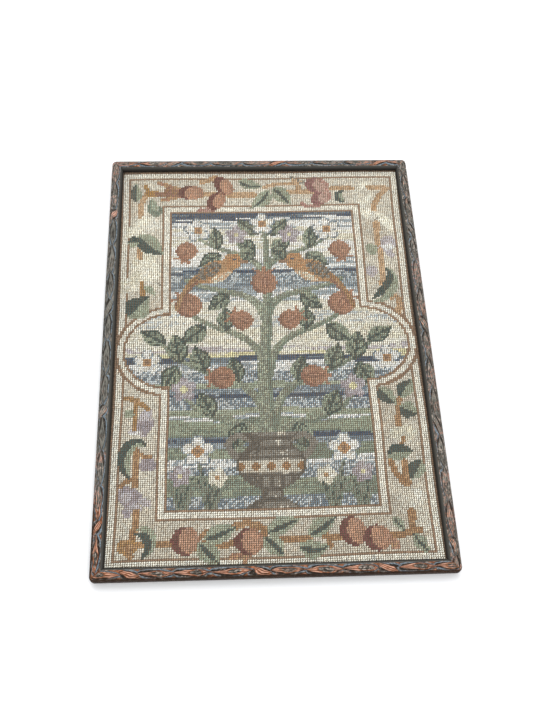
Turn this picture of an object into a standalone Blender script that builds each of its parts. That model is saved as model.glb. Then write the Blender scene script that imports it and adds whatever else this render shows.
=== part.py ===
"""Framed needlepoint: a wool needlework held behind four mitred, carved rails.

The piece lies on its back. +Z points out of its face, +Y to the top of the picture and +X to
the right. The origin is the middle of its back, on the surface that it rests on.
"""
import math

import bmesh
import bpy
import numpy as np

MM = 0.001

# Needlework: a canvas of 12 threads to the inch, and the stitches that the frame leaves in sight
STITCH = 25.4 / 12 * MM
STITCHES_ACROSS = 150
STITCH_ROWS = 218
CLOTH_THICKNESS = 2.0 * MM
CLOTH_SWELL = 0.5 * MM
CLOTH_WAVE = 0.12 * MM

# Rail section: widths are taken outwards from the sight edge, heights up from the back
RAIL_WIDTH = 13.0 * MM
REBATE_WIDTH = 5.0 * MM
LIP_UNDERSIDE = 6.8 * MM
NOSE_TOP = 9.3 * MM
SLOPE_WIDTH = 3.0 * MM
SLOPE_TOP = 12.5 * MM
CREST_HEIGHT = 13.4 * MM
CARVED_WIDTH = 9.2 * MM
CARVED_OUTER_HEIGHT = 11.2 * MM
SIDE_TOP = 9.6 * MM
SIDE_FOOT = 5.0 * MM
BACK_TUCK = 2.4 * MM
CORNER_ROUND = 4.5 * MM
TOUCH_GAP = 0.3 * MM

# Carving: three husk leaves and a crossed ribbon, over and over
LEAF_LENGTH = 34.0 * MM
KNOT_LENGTH = 18.0 * MM
LEAVES_IN_A_RUN = 3
LEAF_HEIGHT = 0.45 * MM
HOLLOW_DEPTH = 0.85 * MM
RIB_HEIGHT = 0.4 * MM
RIBBON_HEIGHT = 0.5 * MM
LEAF_STEPS = 8
KNOT_STEPS = 6
CARVING_LINES = 9

# Back board, in the rebate behind the needlework
BOARD_THICKNESS = 2.5 * MM
BOARD_EDGE = 0.4 * MM

SIGHT_WIDTH = STITCHES_ACROSS * STITCH
SIGHT_HEIGHT = STITCH_ROWS * STITCH
CLOTH_TOP = LIP_UNDERSIDE - TOUCH_GAP
RUN_LENGTH = KNOT_LENGTH + LEAVES_IN_A_RUN * LEAF_LENGTH
TUCKED_IN = REBATE_WIDTH - TOUCH_GAP

# Each rail: its name, its turn, the length of its sight edge, how far that edge is from the
# middle, where one ribbon sits along it, and which way its leaves point in its own direction
RAILS = (
    {"name": "rail_top", "turn": 0, "sight": SIGHT_WIDTH, "reach": SIGHT_HEIGHT / 2,
     "ribbon_at": 20.4 * MM, "leaves_point": 1},
    {"name": "rail_left", "turn": 90, "sight": SIGHT_HEIGHT, "reach": SIGHT_WIDTH / 2,
     "ribbon_at": 45.8 * MM, "leaves_point": -1},
    {"name": "rail_bottom", "turn": 180, "sight": SIGHT_WIDTH, "reach": SIGHT_HEIGHT / 2,
     "ribbon_at": 16.8 * MM, "leaves_point": -1},
    {"name": "rail_right", "turn": 270, "sight": SIGHT_HEIGHT, "reach": SIGHT_WIDTH / 2,
     "ribbon_at": -21.4 * MM, "leaves_point": 1},
)


def clear_scene():
    for item in list(bpy.data.objects):
        bpy.data.objects.remove(item, do_unlink=True)


def plain_material(name, colour, roughness):
    material = bpy.data.materials.new(name)
    material.use_nodes = True
    shader = material.node_tree.nodes["Principled BSDF"]
    shader.inputs["Base Color"].default_value = (*colour, 1.0)
    shader.inputs["Roughness"].default_value = roughness
    material.diffuse_color = (*colour, 1.0)
    return material


def add_object(name, bm, material):
    bmesh.ops.recalc_face_normals(bm, faces=bm.faces)
    mesh = bpy.data.meshes.new(name)
    bm.to_mesh(mesh)
    bm.free()
    mesh.materials.append(material)
    item = bpy.data.objects.new(name, mesh)
    bpy.context.scene.collection.objects.link(item)
    return item


def rib_line(u):
    """Half-distance of the two ribs along a cell: a lens that closes at both of its ends."""
    return 0.9 * math.sqrt(max(0.0, math.sin(math.pi * u ** 0.7)))


def leaf_relief(u, v):
    """Husk leaf: a slender dome that widens to a hollow mouth, u along it and v across it."""
    half = 0.12 + 0.56 * max(0.0, math.sin(math.pi * u ** 1.25))
    dome = LEAF_HEIGHT * math.sqrt(max(0.0, 1.0 - (v / half) ** 2))
    hollow = HOLLOW_DEPTH * math.exp(-((u - 0.6) / 0.17) ** 2 - (v / (0.6 * half)) ** 2)
    return dome - hollow


def ribbon_relief(u, v):
    """Crossed ribbon: one rounded band that runs slantwise over its cell."""
    off_line = v - 1.5 * (u - 0.5)
    return RIBBON_HEIGHT * math.exp(-(off_line / 0.4) ** 2)


def relief(run, v):
    """Height of the carving above its ground: run is the distance along, v is across, -1 to 1."""
    place = (run + KNOT_LENGTH / 2) % RUN_LENGTH
    if place < KNOT_LENGTH:
        u = place / KNOT_LENGTH
        height = ribbon_relief(u, v)
    else:
        u = (place - KNOT_LENGTH) % LEAF_LENGTH / LEAF_LENGTH
        height = leaf_relief(u, v)
    rib = RIB_HEIGHT * math.exp(-((abs(v) - rib_line(u)) / 0.2) ** 2)
    return rib if rib > abs(height) else height


def rail_section():
    """The rail's outline, from the sight edge round to it again: (width out, height, v or None).

    The carved part is a parabola through its two edges and its crest, and v is None elsewhere.
    The side is upright down to its foot, and from there it is tucked in to the back.
    """
    points = [(0.0, LIP_UNDERSIDE, None), (0.0, NOSE_TOP, None)]
    points.append((SLOPE_WIDTH * 0.45, NOSE_TOP + (SLOPE_TOP - NOSE_TOP) * 0.38, None))
    for line in range(CARVING_LINES):
        v = 2 * line / (CARVING_LINES - 1) - 1
        out = SLOPE_WIDTH + CARVED_WIDTH * (v + 1) / 2
        edge = SLOPE_TOP + (CARVED_OUTER_HEIGHT - SLOPE_TOP) * (v + 1) / 2
        crown = CREST_HEIGHT - (SLOPE_TOP + CARVED_OUTER_HEIGHT) / 2
        points.append((out, edge + crown * (1 - v * v), v if abs(v) < 1 else None))
    shoulder = RAIL_WIDTH - SLOPE_WIDTH - CARVED_WIDTH
    for angle in (45, 90):
        turn = math.radians(angle)
        out = RAIL_WIDTH - shoulder * (1 - math.sin(turn))
        height = SIDE_TOP + (CARVED_OUTER_HEIGHT - SIDE_TOP) * math.cos(turn)
        points.append((out, height, None))
    points.append((RAIL_WIDTH, SIDE_FOOT, None))
    points.append((RAIL_WIDTH - BACK_TUCK, 0.0, None))
    points.append((REBATE_WIDTH, 0.0, None))
    points.append((REBATE_WIDTH, LIP_UNDERSIDE, None))
    return points


def carving_stations(rail):
    """Places along a rail where its mesh has a section: the steps of every leaf and ribbon."""
    half = rail["sight"] / 2 - 2 * CORNER_ROUND
    cells = [(0.0, KNOT_LENGTH, KNOT_STEPS)]
    for number in range(LEAVES_IN_A_RUN):
        cells.append((KNOT_LENGTH + number * LEAF_LENGTH, LEAF_LENGTH, LEAF_STEPS))
    places = []
    runs = math.ceil(rail["sight"] / RUN_LENGTH) + 1
    for repeat in range(-runs, runs + 1):
        for start, length, steps in cells:
            for step in range(steps):
                run = repeat * RUN_LENGTH - KNOT_LENGTH / 2 + start + length * step / steps
                places.append(rail["ribbon_at"] + rail["leaves_point"] * run)
    return sorted(place for place in places if abs(place) < half)


def corner_point(rail, width, angle):
    """A point by the mitre: the outer edge turns by angle on the corner's round, the rest is
    drawn in to match, and at 45 degrees every point lies on the mitre."""
    outer = max(0.0, (width - (RAIL_WIDTH - CORNER_ROUND)) / CORNER_ROUND)
    on_round = outer * CORNER_ROUND * (1 - math.sin(angle))
    off_round = (1 - outer) * CORNER_ROUND * (1 - math.tan(angle))
    along = rail["sight"] / 2 + width - on_round - off_round - TOUCH_GAP / math.sqrt(2)
    return along, width - outer * CORNER_ROUND * (1 - math.cos(angle))


def rail_sections(rail):
    """Every section of a rail in order, as lists of (along, out, height)."""
    outline = rail_section()

    def place(along, out, height, v):
        if v is not None:
            height += relief(rail["leaves_point"] * (along - rail["ribbon_at"]), v)
        return along, out, height

    middle = []
    for along in carving_stations(rail):
        middle.append([place(along, out, height, v) for out, height, v in outline])
    ends = []
    for angle in (0.0, 15.0, 30.0, 45.0):
        corner = [corner_point(rail, out, math.radians(angle)) for out, height, v in outline]
        ends.append([(spot, outline[i][1], outline[i][2]) for i, spot in enumerate(corner)])
    right = [[place(s, t, z, v) for (s, t), z, v in end] for end in ends]
    left = [[place(-s, t, z, v) for (s, t), z, v in end] for end in reversed(ends)]
    return left + middle + right


def build_rail(rail, material):
    """Carry the section from mitre to mitre, close both ends, and turn the rail into place."""
    bm = bmesh.new()
    rings = []
    for section in rail_sections(rail):
        rings.append([bm.verts.new(point) for point in section])
    count = len(rings[0])
    for ring, following in zip(rings, rings[1:]):
        for i in range(count):
            j = (i + 1) % count
            bm.faces.new((ring[i], ring[j], following[j], following[i]))
    bm.faces.new(rings[0])
    bm.faces.new(list(reversed(rings[-1])))
    bmesh.ops.dissolve_limit(bm, angle_limit=math.radians(0.05), verts=bm.verts, edges=bm.edges)
    item = add_object(rail["name"], bm, material)
    turn = math.radians(rail["turn"])
    item.rotation_euler = (0.0, 0.0, turn)
    item.location = (-math.sin(turn) * rail["reach"], math.cos(turn) * rail["reach"], 0.0)
    return item


def cloth_lift(x, y):
    """How far the stretched needlework stands proud: a low crown with an uneven, slow wave."""
    across = 1 - (2 * x / SIGHT_WIDTH) ** 2
    along = 1 - (2 * y / SIGHT_HEIGHT) ** 2
    inside = max(0.0, across) * max(0.0, along)
    wave = math.sin(31.0 * x + 1.1) * math.sin(23.0 * y + 0.4)
    return inside * CLOTH_SWELL + math.sqrt(inside) * CLOTH_WAVE * wave


def build_needlework(material):
    """A sheet that is flat where the rebate holds it and crowned inside the sight edge."""
    half_x = SIGHT_WIDTH / 2 + TUCKED_IN
    half_y = SIGHT_HEIGHT / 2 + TUCKED_IN
    columns = [-half_x, *np.linspace(-SIGHT_WIDTH / 2, SIGHT_WIDTH / 2, 11), half_x]
    rows = [-half_y, *np.linspace(-SIGHT_HEIGHT / 2, SIGHT_HEIGHT / 2, 15), half_y]
    bm = bmesh.new()
    grid = []
    for y in rows:
        grid.append([bm.verts.new((x, y, CLOTH_TOP + cloth_lift(x, y))) for x in columns])
    for lower, upper in zip(grid, grid[1:]):
        for i in range(len(columns) - 1):
            bm.faces.new((lower[i], lower[i + 1], upper[i + 1], upper[i]))
    rim = grid[0] + [row[-1] for row in grid[1:]]
    rim += list(reversed(grid[-1][:-1])) + [row[0] for row in reversed(grid[1:-1])]
    floor = [bm.verts.new((v.co.x, v.co.y, CLOTH_TOP - CLOTH_THICKNESS)) for v in rim]
    for i in range(len(rim)):
        j = (i + 1) % len(rim)
        bm.faces.new((rim[j], rim[i], floor[i], floor[j]))
    bm.faces.new(list(reversed(floor)))
    bmesh.ops.dissolve_limit(bm, angle_limit=math.radians(0.005), verts=bm.verts, edges=bm.edges)
    return add_object("needlework", bm, material)


def build_board(material):
    """A thin flat board that fills the rebate behind the needlework."""
    top = CLOTH_TOP - CLOTH_THICKNESS - TOUCH_GAP
    size = (SIGHT_WIDTH + 2 * TUCKED_IN, SIGHT_HEIGHT + 2 * TUCKED_IN, BOARD_THICKNESS)
    bm = bmesh.new()
    bmesh.ops.create_cube(bm, size=1.0)
    bmesh.ops.scale(bm, vec=size, verts=bm.verts)
    board = add_object("back_board", bm, material)
    board.location.z = top - BOARD_THICKNESS / 2
    edge = board.modifiers.new("Eased edge", "BEVEL")
    edge.width = BOARD_EDGE
    edge.segments = 1
    return board


def main():
    clear_scene()
    painted_wood = plain_material("Painted carved wood", (0.075, 0.070, 0.060), 0.45)
    wool = plain_material("Wool needlework", (0.52, 0.46, 0.36), 0.95)
    board_wood = plain_material("Board", (0.30, 0.20, 0.12), 0.75)
    for rail in RAILS:
        build_rail(rail, painted_wood)
    build_needlework(wool)
    build_board(board_wood)


main()
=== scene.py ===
"""Looks of the framed needlepoint: wool stitches on a canvas, in four carved and painted rails.

The frame lies on its back: +Z out of its face, +Y to the top of the picture. Lengths are in
metres, except in the stitch chart, which counts stitches from the middle of the picture.
"""
import math
from types import SimpleNamespace

import bpy
import numpy as np
from mathutils import Matrix, Vector


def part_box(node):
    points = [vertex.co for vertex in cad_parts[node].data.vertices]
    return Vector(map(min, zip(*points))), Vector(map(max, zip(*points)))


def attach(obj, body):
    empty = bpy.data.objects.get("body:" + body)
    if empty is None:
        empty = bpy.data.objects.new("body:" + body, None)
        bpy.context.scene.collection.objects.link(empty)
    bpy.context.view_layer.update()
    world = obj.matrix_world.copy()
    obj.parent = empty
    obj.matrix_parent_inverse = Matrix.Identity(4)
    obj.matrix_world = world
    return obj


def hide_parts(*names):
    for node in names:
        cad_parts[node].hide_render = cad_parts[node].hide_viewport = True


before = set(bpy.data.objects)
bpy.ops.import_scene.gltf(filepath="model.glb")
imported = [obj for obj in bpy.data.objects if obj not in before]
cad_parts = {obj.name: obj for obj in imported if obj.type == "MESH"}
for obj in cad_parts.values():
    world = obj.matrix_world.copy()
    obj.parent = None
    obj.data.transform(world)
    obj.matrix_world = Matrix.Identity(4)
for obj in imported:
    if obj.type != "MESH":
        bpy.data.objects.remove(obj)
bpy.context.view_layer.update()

MM = 0.001


def rows(columns, *values):
    """A table: each row of values under the names of its columns."""
    return [dict(zip(columns.split(), row)) for row in values]


# Sight edges of the four rails, and the needlework that they hold, as the frame has them
SIGHT_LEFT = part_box("rail_left")[1].x
SIGHT_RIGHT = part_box("rail_right")[0].x
SIGHT_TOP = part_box("rail_top")[0].y
SIGHT_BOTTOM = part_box("rail_bottom")[1].y
RAIL_WIDTH = SIGHT_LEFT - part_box("rail_left")[0].x
CLOTH_LOW, CLOTH_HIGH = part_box("needlework")

# Needlework: stitches in sight, in the chart under the lip and worked there, the height above and
# below the middle where the picture's pieces part, and the width, length and slant of a stitch, all
# in stitches. Then the canvas, its crown and the yarn.
STITCHES_ACROSS = 150
STITCH_ROWS = 218
UNDER_LIP = 2
WORKED_UNDER_LIP = 1.5
PIECE_EDGE = 36
STITCH = (SIGHT_RIGHT - SIGHT_LEFT) / STITCHES_ACROSS
STITCH_WIDTH = 0.84
STITCH_LENGTH = 1.14
STITCH_SLANT = 0.34
CANVAS_THICKNESS = 0.8 * MM
CANVAS_GRID = (41, 57)
CLOTH_SWELL = 0.5 * MM
YARN_HEIGHT = 1.2 * MM

# Rail section: widths outwards from the sight edge, heights up from the back
REBATE_WIDTH = 5.0 * MM
LIP_UNDERSIDE = 6.8 * MM
NOSE_ROUND = 0.3 * MM
NOSE_TOP = 9.3 * MM
SLOPE_WIDTH = 3.0 * MM
SLOPE_TOP = 12.5 * MM
CREST_HEIGHT = 13.4 * MM
CARVED_WIDTH = 9.2 * MM
CARVED_OUTER_HEIGHT = 11.2 * MM
SIDE_TOP = 9.6 * MM
SIDE_FOOT = 5.0 * MM
BACK_TUCK = 2.4 * MM
BACK_ROUND = 0.2 * MM
CORNER_ROUND = 4.5 * MM
TOUCH_GAP = 0.3 * MM

# Carving: three husk leaves and a crossed ribbon, over and over, with ridges along them. A point
# of the section has its place across the carving, from -1 to 1, or PLAIN where there is none.
PLAIN = 2.0
LEAF_LENGTH = 34.0 * MM
KNOT_LENGTH = 18.0 * MM
LEAVES_IN_A_RUN = 3
RUN_LENGTH = KNOT_LENGTH + LEAVES_IN_A_RUN * LEAF_LENGTH
RAIL_STEP = 0.85 * MM
RIDGE_SWING = 9.5
CHANCE_ROWS = 97

# The rails: their turn in degrees, the place of a ribbon along them in millimetres, the way that
# their leaves point, the cell that their chances start at, how far the paint has worn off, and how
# strong the painted ribs are. Then the places that have worn more, in millimetres.
RAILS = rows(
    "node turn ribbon_at leaves_point first_cell worn ribs",
    ("rail_top", 0, 20.4, 1, 8, 0.5, 1.0), ("rail_left", 90, 45.8, -1, 30, 0.1, 1.0),
    ("rail_bottom", 180, 16.8, -1, 55, 0.8, 1.0), ("rail_right", 270, -21.4, 1, 80, 0.36, 0.6),
)
WORN_PLACES = rows(
    "x y reach more",
    (-165, 215, 40, 0.4), (-165, 165, 10, 0.5), (-165, -75, 9, 0.3), (-165, -128, 9, 0.35),
    (-165, -190, 32, 0.75), (-165, -238, 24, 0.7), (165, -205, 35, 0.2), (165, 30, 25, 0.15),
    (165, 190, 40, 0.12), (20, 237, 12, 0.3), (141, 237, 14, 0.3),
)

# Camera: where the photograph was taken from, the spot that it looks at, and its tilt
CAMERA_PLACE = (-0.04541, -0.43893, 0.81853)
CAMERA_TARGET = (-0.00161, -0.01237, 0.0065)
CAMERA_ROLL = -4.255
CAMERA_LENS = 44.63

# Daylight: the side of each square light, its place and its power
LIGHT_SIZE = 2.2
LIGHTS = rows("name place power", ("Window", (-0.2, 1.3, 1.9), 36), ("Fill", (0.7, -1.0, 1.9), 15))

# Floor: half its side, and how far it lies below the frame's back
FLOOR_HALF = 6.0
FLOOR_DROP = 0.2 * MM

# Yarn colours as they look, red, green and blue from 0 to 255
YARNS = {
    "brown": (160, 131, 106), "cream": (244, 241, 226), "linen": (232, 227, 210),
    "oat": (223, 217, 200), "sand": (216, 208, 189), "straw": (236, 232, 211),
    "primrose": (236, 230, 186), "white": (246, 246, 240), "orange": (198, 152, 108),
    "ochre": (196, 160, 120), "light ochre": (213, 183, 147), "gold": (178, 140, 91),
    "dark ochre": (168, 130, 92), "terracotta": (182, 139, 113), "dark terracotta": (156, 117, 98),
    "light terracotta": (190, 151, 127), "maroon": (121, 76, 69), "salmon": (203, 159, 130),
    "pale salmon": (223, 191, 157), "rose": (200, 169, 154), "dusty rose": (187, 143, 131),
    "dark rose": (153, 109, 106), "dark green": (80, 95, 89), "green": (136, 148, 131),
    "light green": (167, 176, 153), "sage": (186, 192, 169), "moss": (146, 152, 136),
    "taupe": (147, 143, 132), "dark taupe": (110, 106, 97), "navy": (78, 94, 112),
    "slate": (126, 141, 149), "pale slate": (174, 185, 188), "pale blue": (206, 213, 212),
    "lilac": (178, 169, 172), "pale lilac": (205, 199, 199), "mustard": (184, 141, 78),
    "ivory": (254, 251, 233),
}
YARN_NUMBER = {name: number for number, name in enumerate(YARNS)}

# Colours of the other materials, given in the same way
COLOURS = {
    "dust": (176, 166, 148), "lower gaps": (74, 61, 48), "upper gaps": (96, 81, 65),
    "lower threads": (118, 99, 78), "upper threads": (142, 124, 102), "dark paint": (49, 47, 42),
    "scuffed paint and painted highlight": (126, 124, 115), "brown paint": (58, 43, 33), "dark chip": (96, 84, 74),
    "pale chip": (178, 164, 152), "red chip": (152, 98, 74), "rosy chip": (204, 160, 144),
    "scratch": (140, 140, 133), "deep slate": (80, 92, 101), "slate": (130, 143, 152),
    "deep copper": (86, 52, 34), "copper": (172, 104, 67), "dull copper": (146, 106, 78),
    "bleached copper": (150, 108, 98), "palest copper": (216, 182, 172),
    "bright copper": (220, 170, 146), "cut": (30, 24, 19), "slope": (77, 76, 72), "nose": (37, 34, 30),
    "deep side": (34, 20, 9), "side": (50, 30, 14), "raw wood": (122, 92, 62),
    "pale raw wood": (160, 128, 92), "board": (142, 108, 76), "pale board": (186, 152, 114),
    "stain": (112, 86, 62),
}


def linear(colour):
    """A colour as it looks, 0 to 255, as linear light."""
    share = np.asarray(colour, float) / 255
    return np.where(share <= 0.04045, share / 12.92, ((share + 0.055) / 1.055) ** 2.4)


def direction(turn):
    """The cosine and sine of a turn in degrees."""
    return math.cos(math.radians(turn)), math.sin(math.radians(turn))


def smoothstep(low, high, value):
    """0 up to low, 1 from high, and an easy curve between them."""
    share = np.clip((value - low) / (high - low), 0, 1)
    return share * share * (3 - 2 * share)


def value_noise(shape, cells_down, cells_across, seed):
    """Soft noise from 0 to 1 on a grid: random values at coarse knots, eased in between."""
    knots = np.random.default_rng(seed).random((cells_down + 2, cells_across + 2))
    down = np.linspace(0, cells_down, shape[0])[:, None]
    across = np.linspace(0, cells_across, shape[1])[None, :]
    i, j = down.astype(int), across.astype(int)
    a, b = smoothstep(0, 1, down - i), smoothstep(0, 1, across - j)
    upper = knots[i, j] * (1 - b) + knots[i, j + 1] * b
    lower = knots[i + 1, j] * (1 - b) + knots[i + 1, j + 1] * b
    return upper * (1 - a) + lower * a


# Stitch chart: each cell of the chart is one stitch and holds the number of its yarn
COLUMNS = STITCHES_ACROSS + 2 * UNDER_LIP
ROWS = STITCH_ROWS + 2 * UNDER_LIP
X = np.broadcast_to(np.arange(COLUMNS) - (COLUMNS - 1) / 2, (ROWS, COLUMNS))
Y = np.broadcast_to(((ROWS - 1) / 2 - np.arange(ROWS))[:, None], (ROWS, COLUMNS))

# Bands from the sight edge inwards, and the same again round the panel, in stitches
BANDS = rows("to yarn", (1, "brown"), (4, "cream"), (5, "brown"))
PANEL_INSET = 27
PANEL_HALF_WIDTH = STITCHES_ACROSS / 2 - PANEL_INSET
PANEL_HALF_HEIGHT = STITCH_ROWS / 2 - PANEL_INSET
LOBE_REACH = 22
LOBE_RISE = 20
LOBE_MIDDLE = np.where(X < 0, -0.5, 1.8)

# Points that stand for a curve, and the petals of a flower of the picture
CURVE_POINTS = 48
PETALS = 5

# The panel's ground, from the top down: the height it starts at, two yarns, the second's share,
# and how far they are heathered stitch by stitch rather than in long streaks
STREAKS = rows(
    "start yarn second share heather",
    (84, "navy", "slate", 0.25, 0.1), (79, "navy", "white", 0.4, 0.1),
    (77, "white", "pale slate", 0.5, 0.15), (71, "white", "straw", 0.4, 0.15),
    (60, "cream", "white", 0.5, 0.2), (53, "white", "pale slate", 0.45, 0.15),
    (46, "navy", "slate", 0.2, 0.1), (44, "slate", "pale blue", 0.5, 0.65),
    (38, "pale slate", "slate", 0.4, 0.2), (34, "white", "pale slate", 0.45, 0.2),
    (27, "cream", "straw", 0.4, 0.2), (20, "cream", "pale blue", 0.4, 0.2),
    (12, "straw", "cream", 0.5, 0.2), (5, "cream", "straw", 0.4, 0.2),
    (1, "pale lilac", "cream", 0.45, 0.15), (-2, "straw", "primrose", 0.4, 0.15),
    (-5, "navy", "slate", 0.3, 0.1), (-8, "white", "pale slate", 0.5, 0.2),
    (-13, "slate", "pale blue", 0.55, 0.65), (-18, "light green", "sage", 0.5, 0.2),
    (-21, "pale slate", "slate", 0.5, 0.55), (-25, "navy", "slate", 0.3, 0.1),
    (-27, "slate", "pale blue", 0.55, 0.65), (-33, "light green", "sage", 0.5, 0.2),
    (-36, "white", "pale slate", 0.5, 0.2), (-38, "light green", "green", 0.4, 0.2),
    (-46, "navy", "slate", 0.3, 0.1), (-49, "pale slate", "slate", 0.45, 0.2),
    (-52, "green", "light green", 0.5, 0.2), (-58, "white", "pale slate", 0.5, 0.3),
    (-62, "slate", "pale blue", 0.55, 0.65), (-67, "green", "light green", 0.4, 0.2),
    (-70, "light green", "green", 0.45, 0.2), (-76, "slate", "pale blue", 0.45, 0.7),
)

# Border leaves: their foot, turn and size, and the dark zone along them, from low to high, where
# -1 is the right edge and 1 the left
BORDER_LEAVES = rows(
    "x y turn length width bend low high",
    (-66.7, 89.5, 94, 12.5, 6.4, 0.0, -0.05, 1.1), (-12, 103.8, -18, 14, 6.5, -0.3, -0.65, -0.05),
    (4.5, 97, 228, 15.5, 8.5, 0.4, -0.2, 0.25), (6.5, 98.5, -51, 14.5, 9, 0.1, -0.25, 0.2),
    (-66, 68, -41, 18.5, 11, 0.0, -1.1, -0.05), (-71, 64.5, -8, 6.5, 7, 0.0, 0.0, 1.1),
    (-61.5, 37, -48, 8, 4, 0.2, 0.0, 0.0), (-69.5, 18.8, 49, 16, 13.2, 0.0, 0.0, 1.1),
    (-69.5, -33.5, -10, 5.5, 5, 0.0, 0.0, 0.0), (-31, -96, 22, 16, 8.5, 0.0, -0.4, 0.15),
    (-33.5, -97, -47, 14.5, 9, 0.0, -0.25, 0.2), (-3.5, -93.5, 22, 16.5, 8, 0.2, -0.5, 0.05),
    (-4.5, -95, -46, 13, 8, 0.1, -0.25, 0.3), (15, -95, 31, 15.5, 8, 0.1, -0.55, 0.0),
    (10.5, -99.5, -2, 13.5, 8.5, -0.45, -0.35, 0.25), (53.5, -88, -58, 8.5, 4.5, 0.0, -0.25, 0.15),
    (61, -96, -56, 11.5, 6, 0.1, -0.3, 0.15), (53, -23.5, -50, 12, 8, 0.0, -1.1, 0.05),
    (63, -28.5, 55, 11.5, 8, 0.0, 0.05, 1.1), (62, -33.5, -26, 9.5, 9, 0.0, -1.1, 0.0),
    (53.5, -58.5, 8, 13, 8.5, 0.2, 0.0, 1.1), (69.5, -61, 240, 11.5, 8, 0.0, -1.1, 0.1),
    (55.5, 61, -72, 8, 6.5, 0.1, 0.0, 0.0), (65, 37, 229, 13, 5, 0.0, -1.1, 1.1),
)

# Curled leaves: the lines of their dark and light strokes, and the width of the light one
CRESCENTS = rows(
    "dark light width shade",
    (((-58, -50.5), (-63, -44), (-71.5, -50), (-72, -61), (-65, -66.5)),
     ((-60, -50.5), (-64, -47.5), (-68, -52), (-68.5, -60), (-65, -65)), 4.8, "dark green"),
    (((-62, -93), (-57, -91), (-54.5, -96), (-55, -100), (-58, -103.5)),
     ((-61, -91), (-55, -88.5), (-52, -95), (-53.5, -100), (-57, -103)), 4.4, "dark green"),
    (((63, 46), (67, 42), (66, 35.5), (60, 33.5), (56, 27.5)),
     ((64, 45.5), (68.5, 42), (68, 33.5), (64, 26.5), (56, 25.5)), 5.0, "dark green"),
    (((45.5, 95), (38.5, 96), (40, 88), (45.5, 88)),
     ((44, 94), (41, 93), (42, 90), (45, 90)), 3.2, "dark green"),
    (((-59.2, 90.5), (-61.8, 83.5), (-57.2, 78.6), (-52.6, 82.5), (-54.4, 86.5)),
     ((-58.8, 92), (-58, 89), (-57.2, 85.5), (-57, 82)), 4.2, "green"),
)

# Fruits: how far the deep crescent on the left is dropped, and which of two sets of yarns they wear
BORDER_FRUITS = rows(
    "x y length width turn drop tone",
    (-37.5, 95.5, 13.5, 9.5, 0, 0.4, 0), (-20, 100, 13.5, 9, -50, 1.4, 0),
    (-24, 90, 12.5, 9, 52, -0.6, 0), (32.6, 91.4, 12.5, 8.6, 32, -1.2, 1),
    (30.8, 99.3, 14, 10, -24, 0.4, 1), (-39.3, -96.3, 13, 12.5, 90, -0.3, 0),
    (-11, -97, 13.5, 12, 0, -0.3, 0), (35, -94, 13.5, 11.5, -76, -0.3, 0),
    (45.5, -97.5, 12.5, 12, 0, -0.8, 0),
)

# The yarn that every third stitch of a branch has, by the branch's own yarn
PARTNERS = {
    "ochre": "light ochre", "dusty rose": "rose", "taupe": "light ochre", "mustard": "gold",
    "dark terracotta": "dark ochre",
}
COMMON_PARTNER = "ochre"

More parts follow.
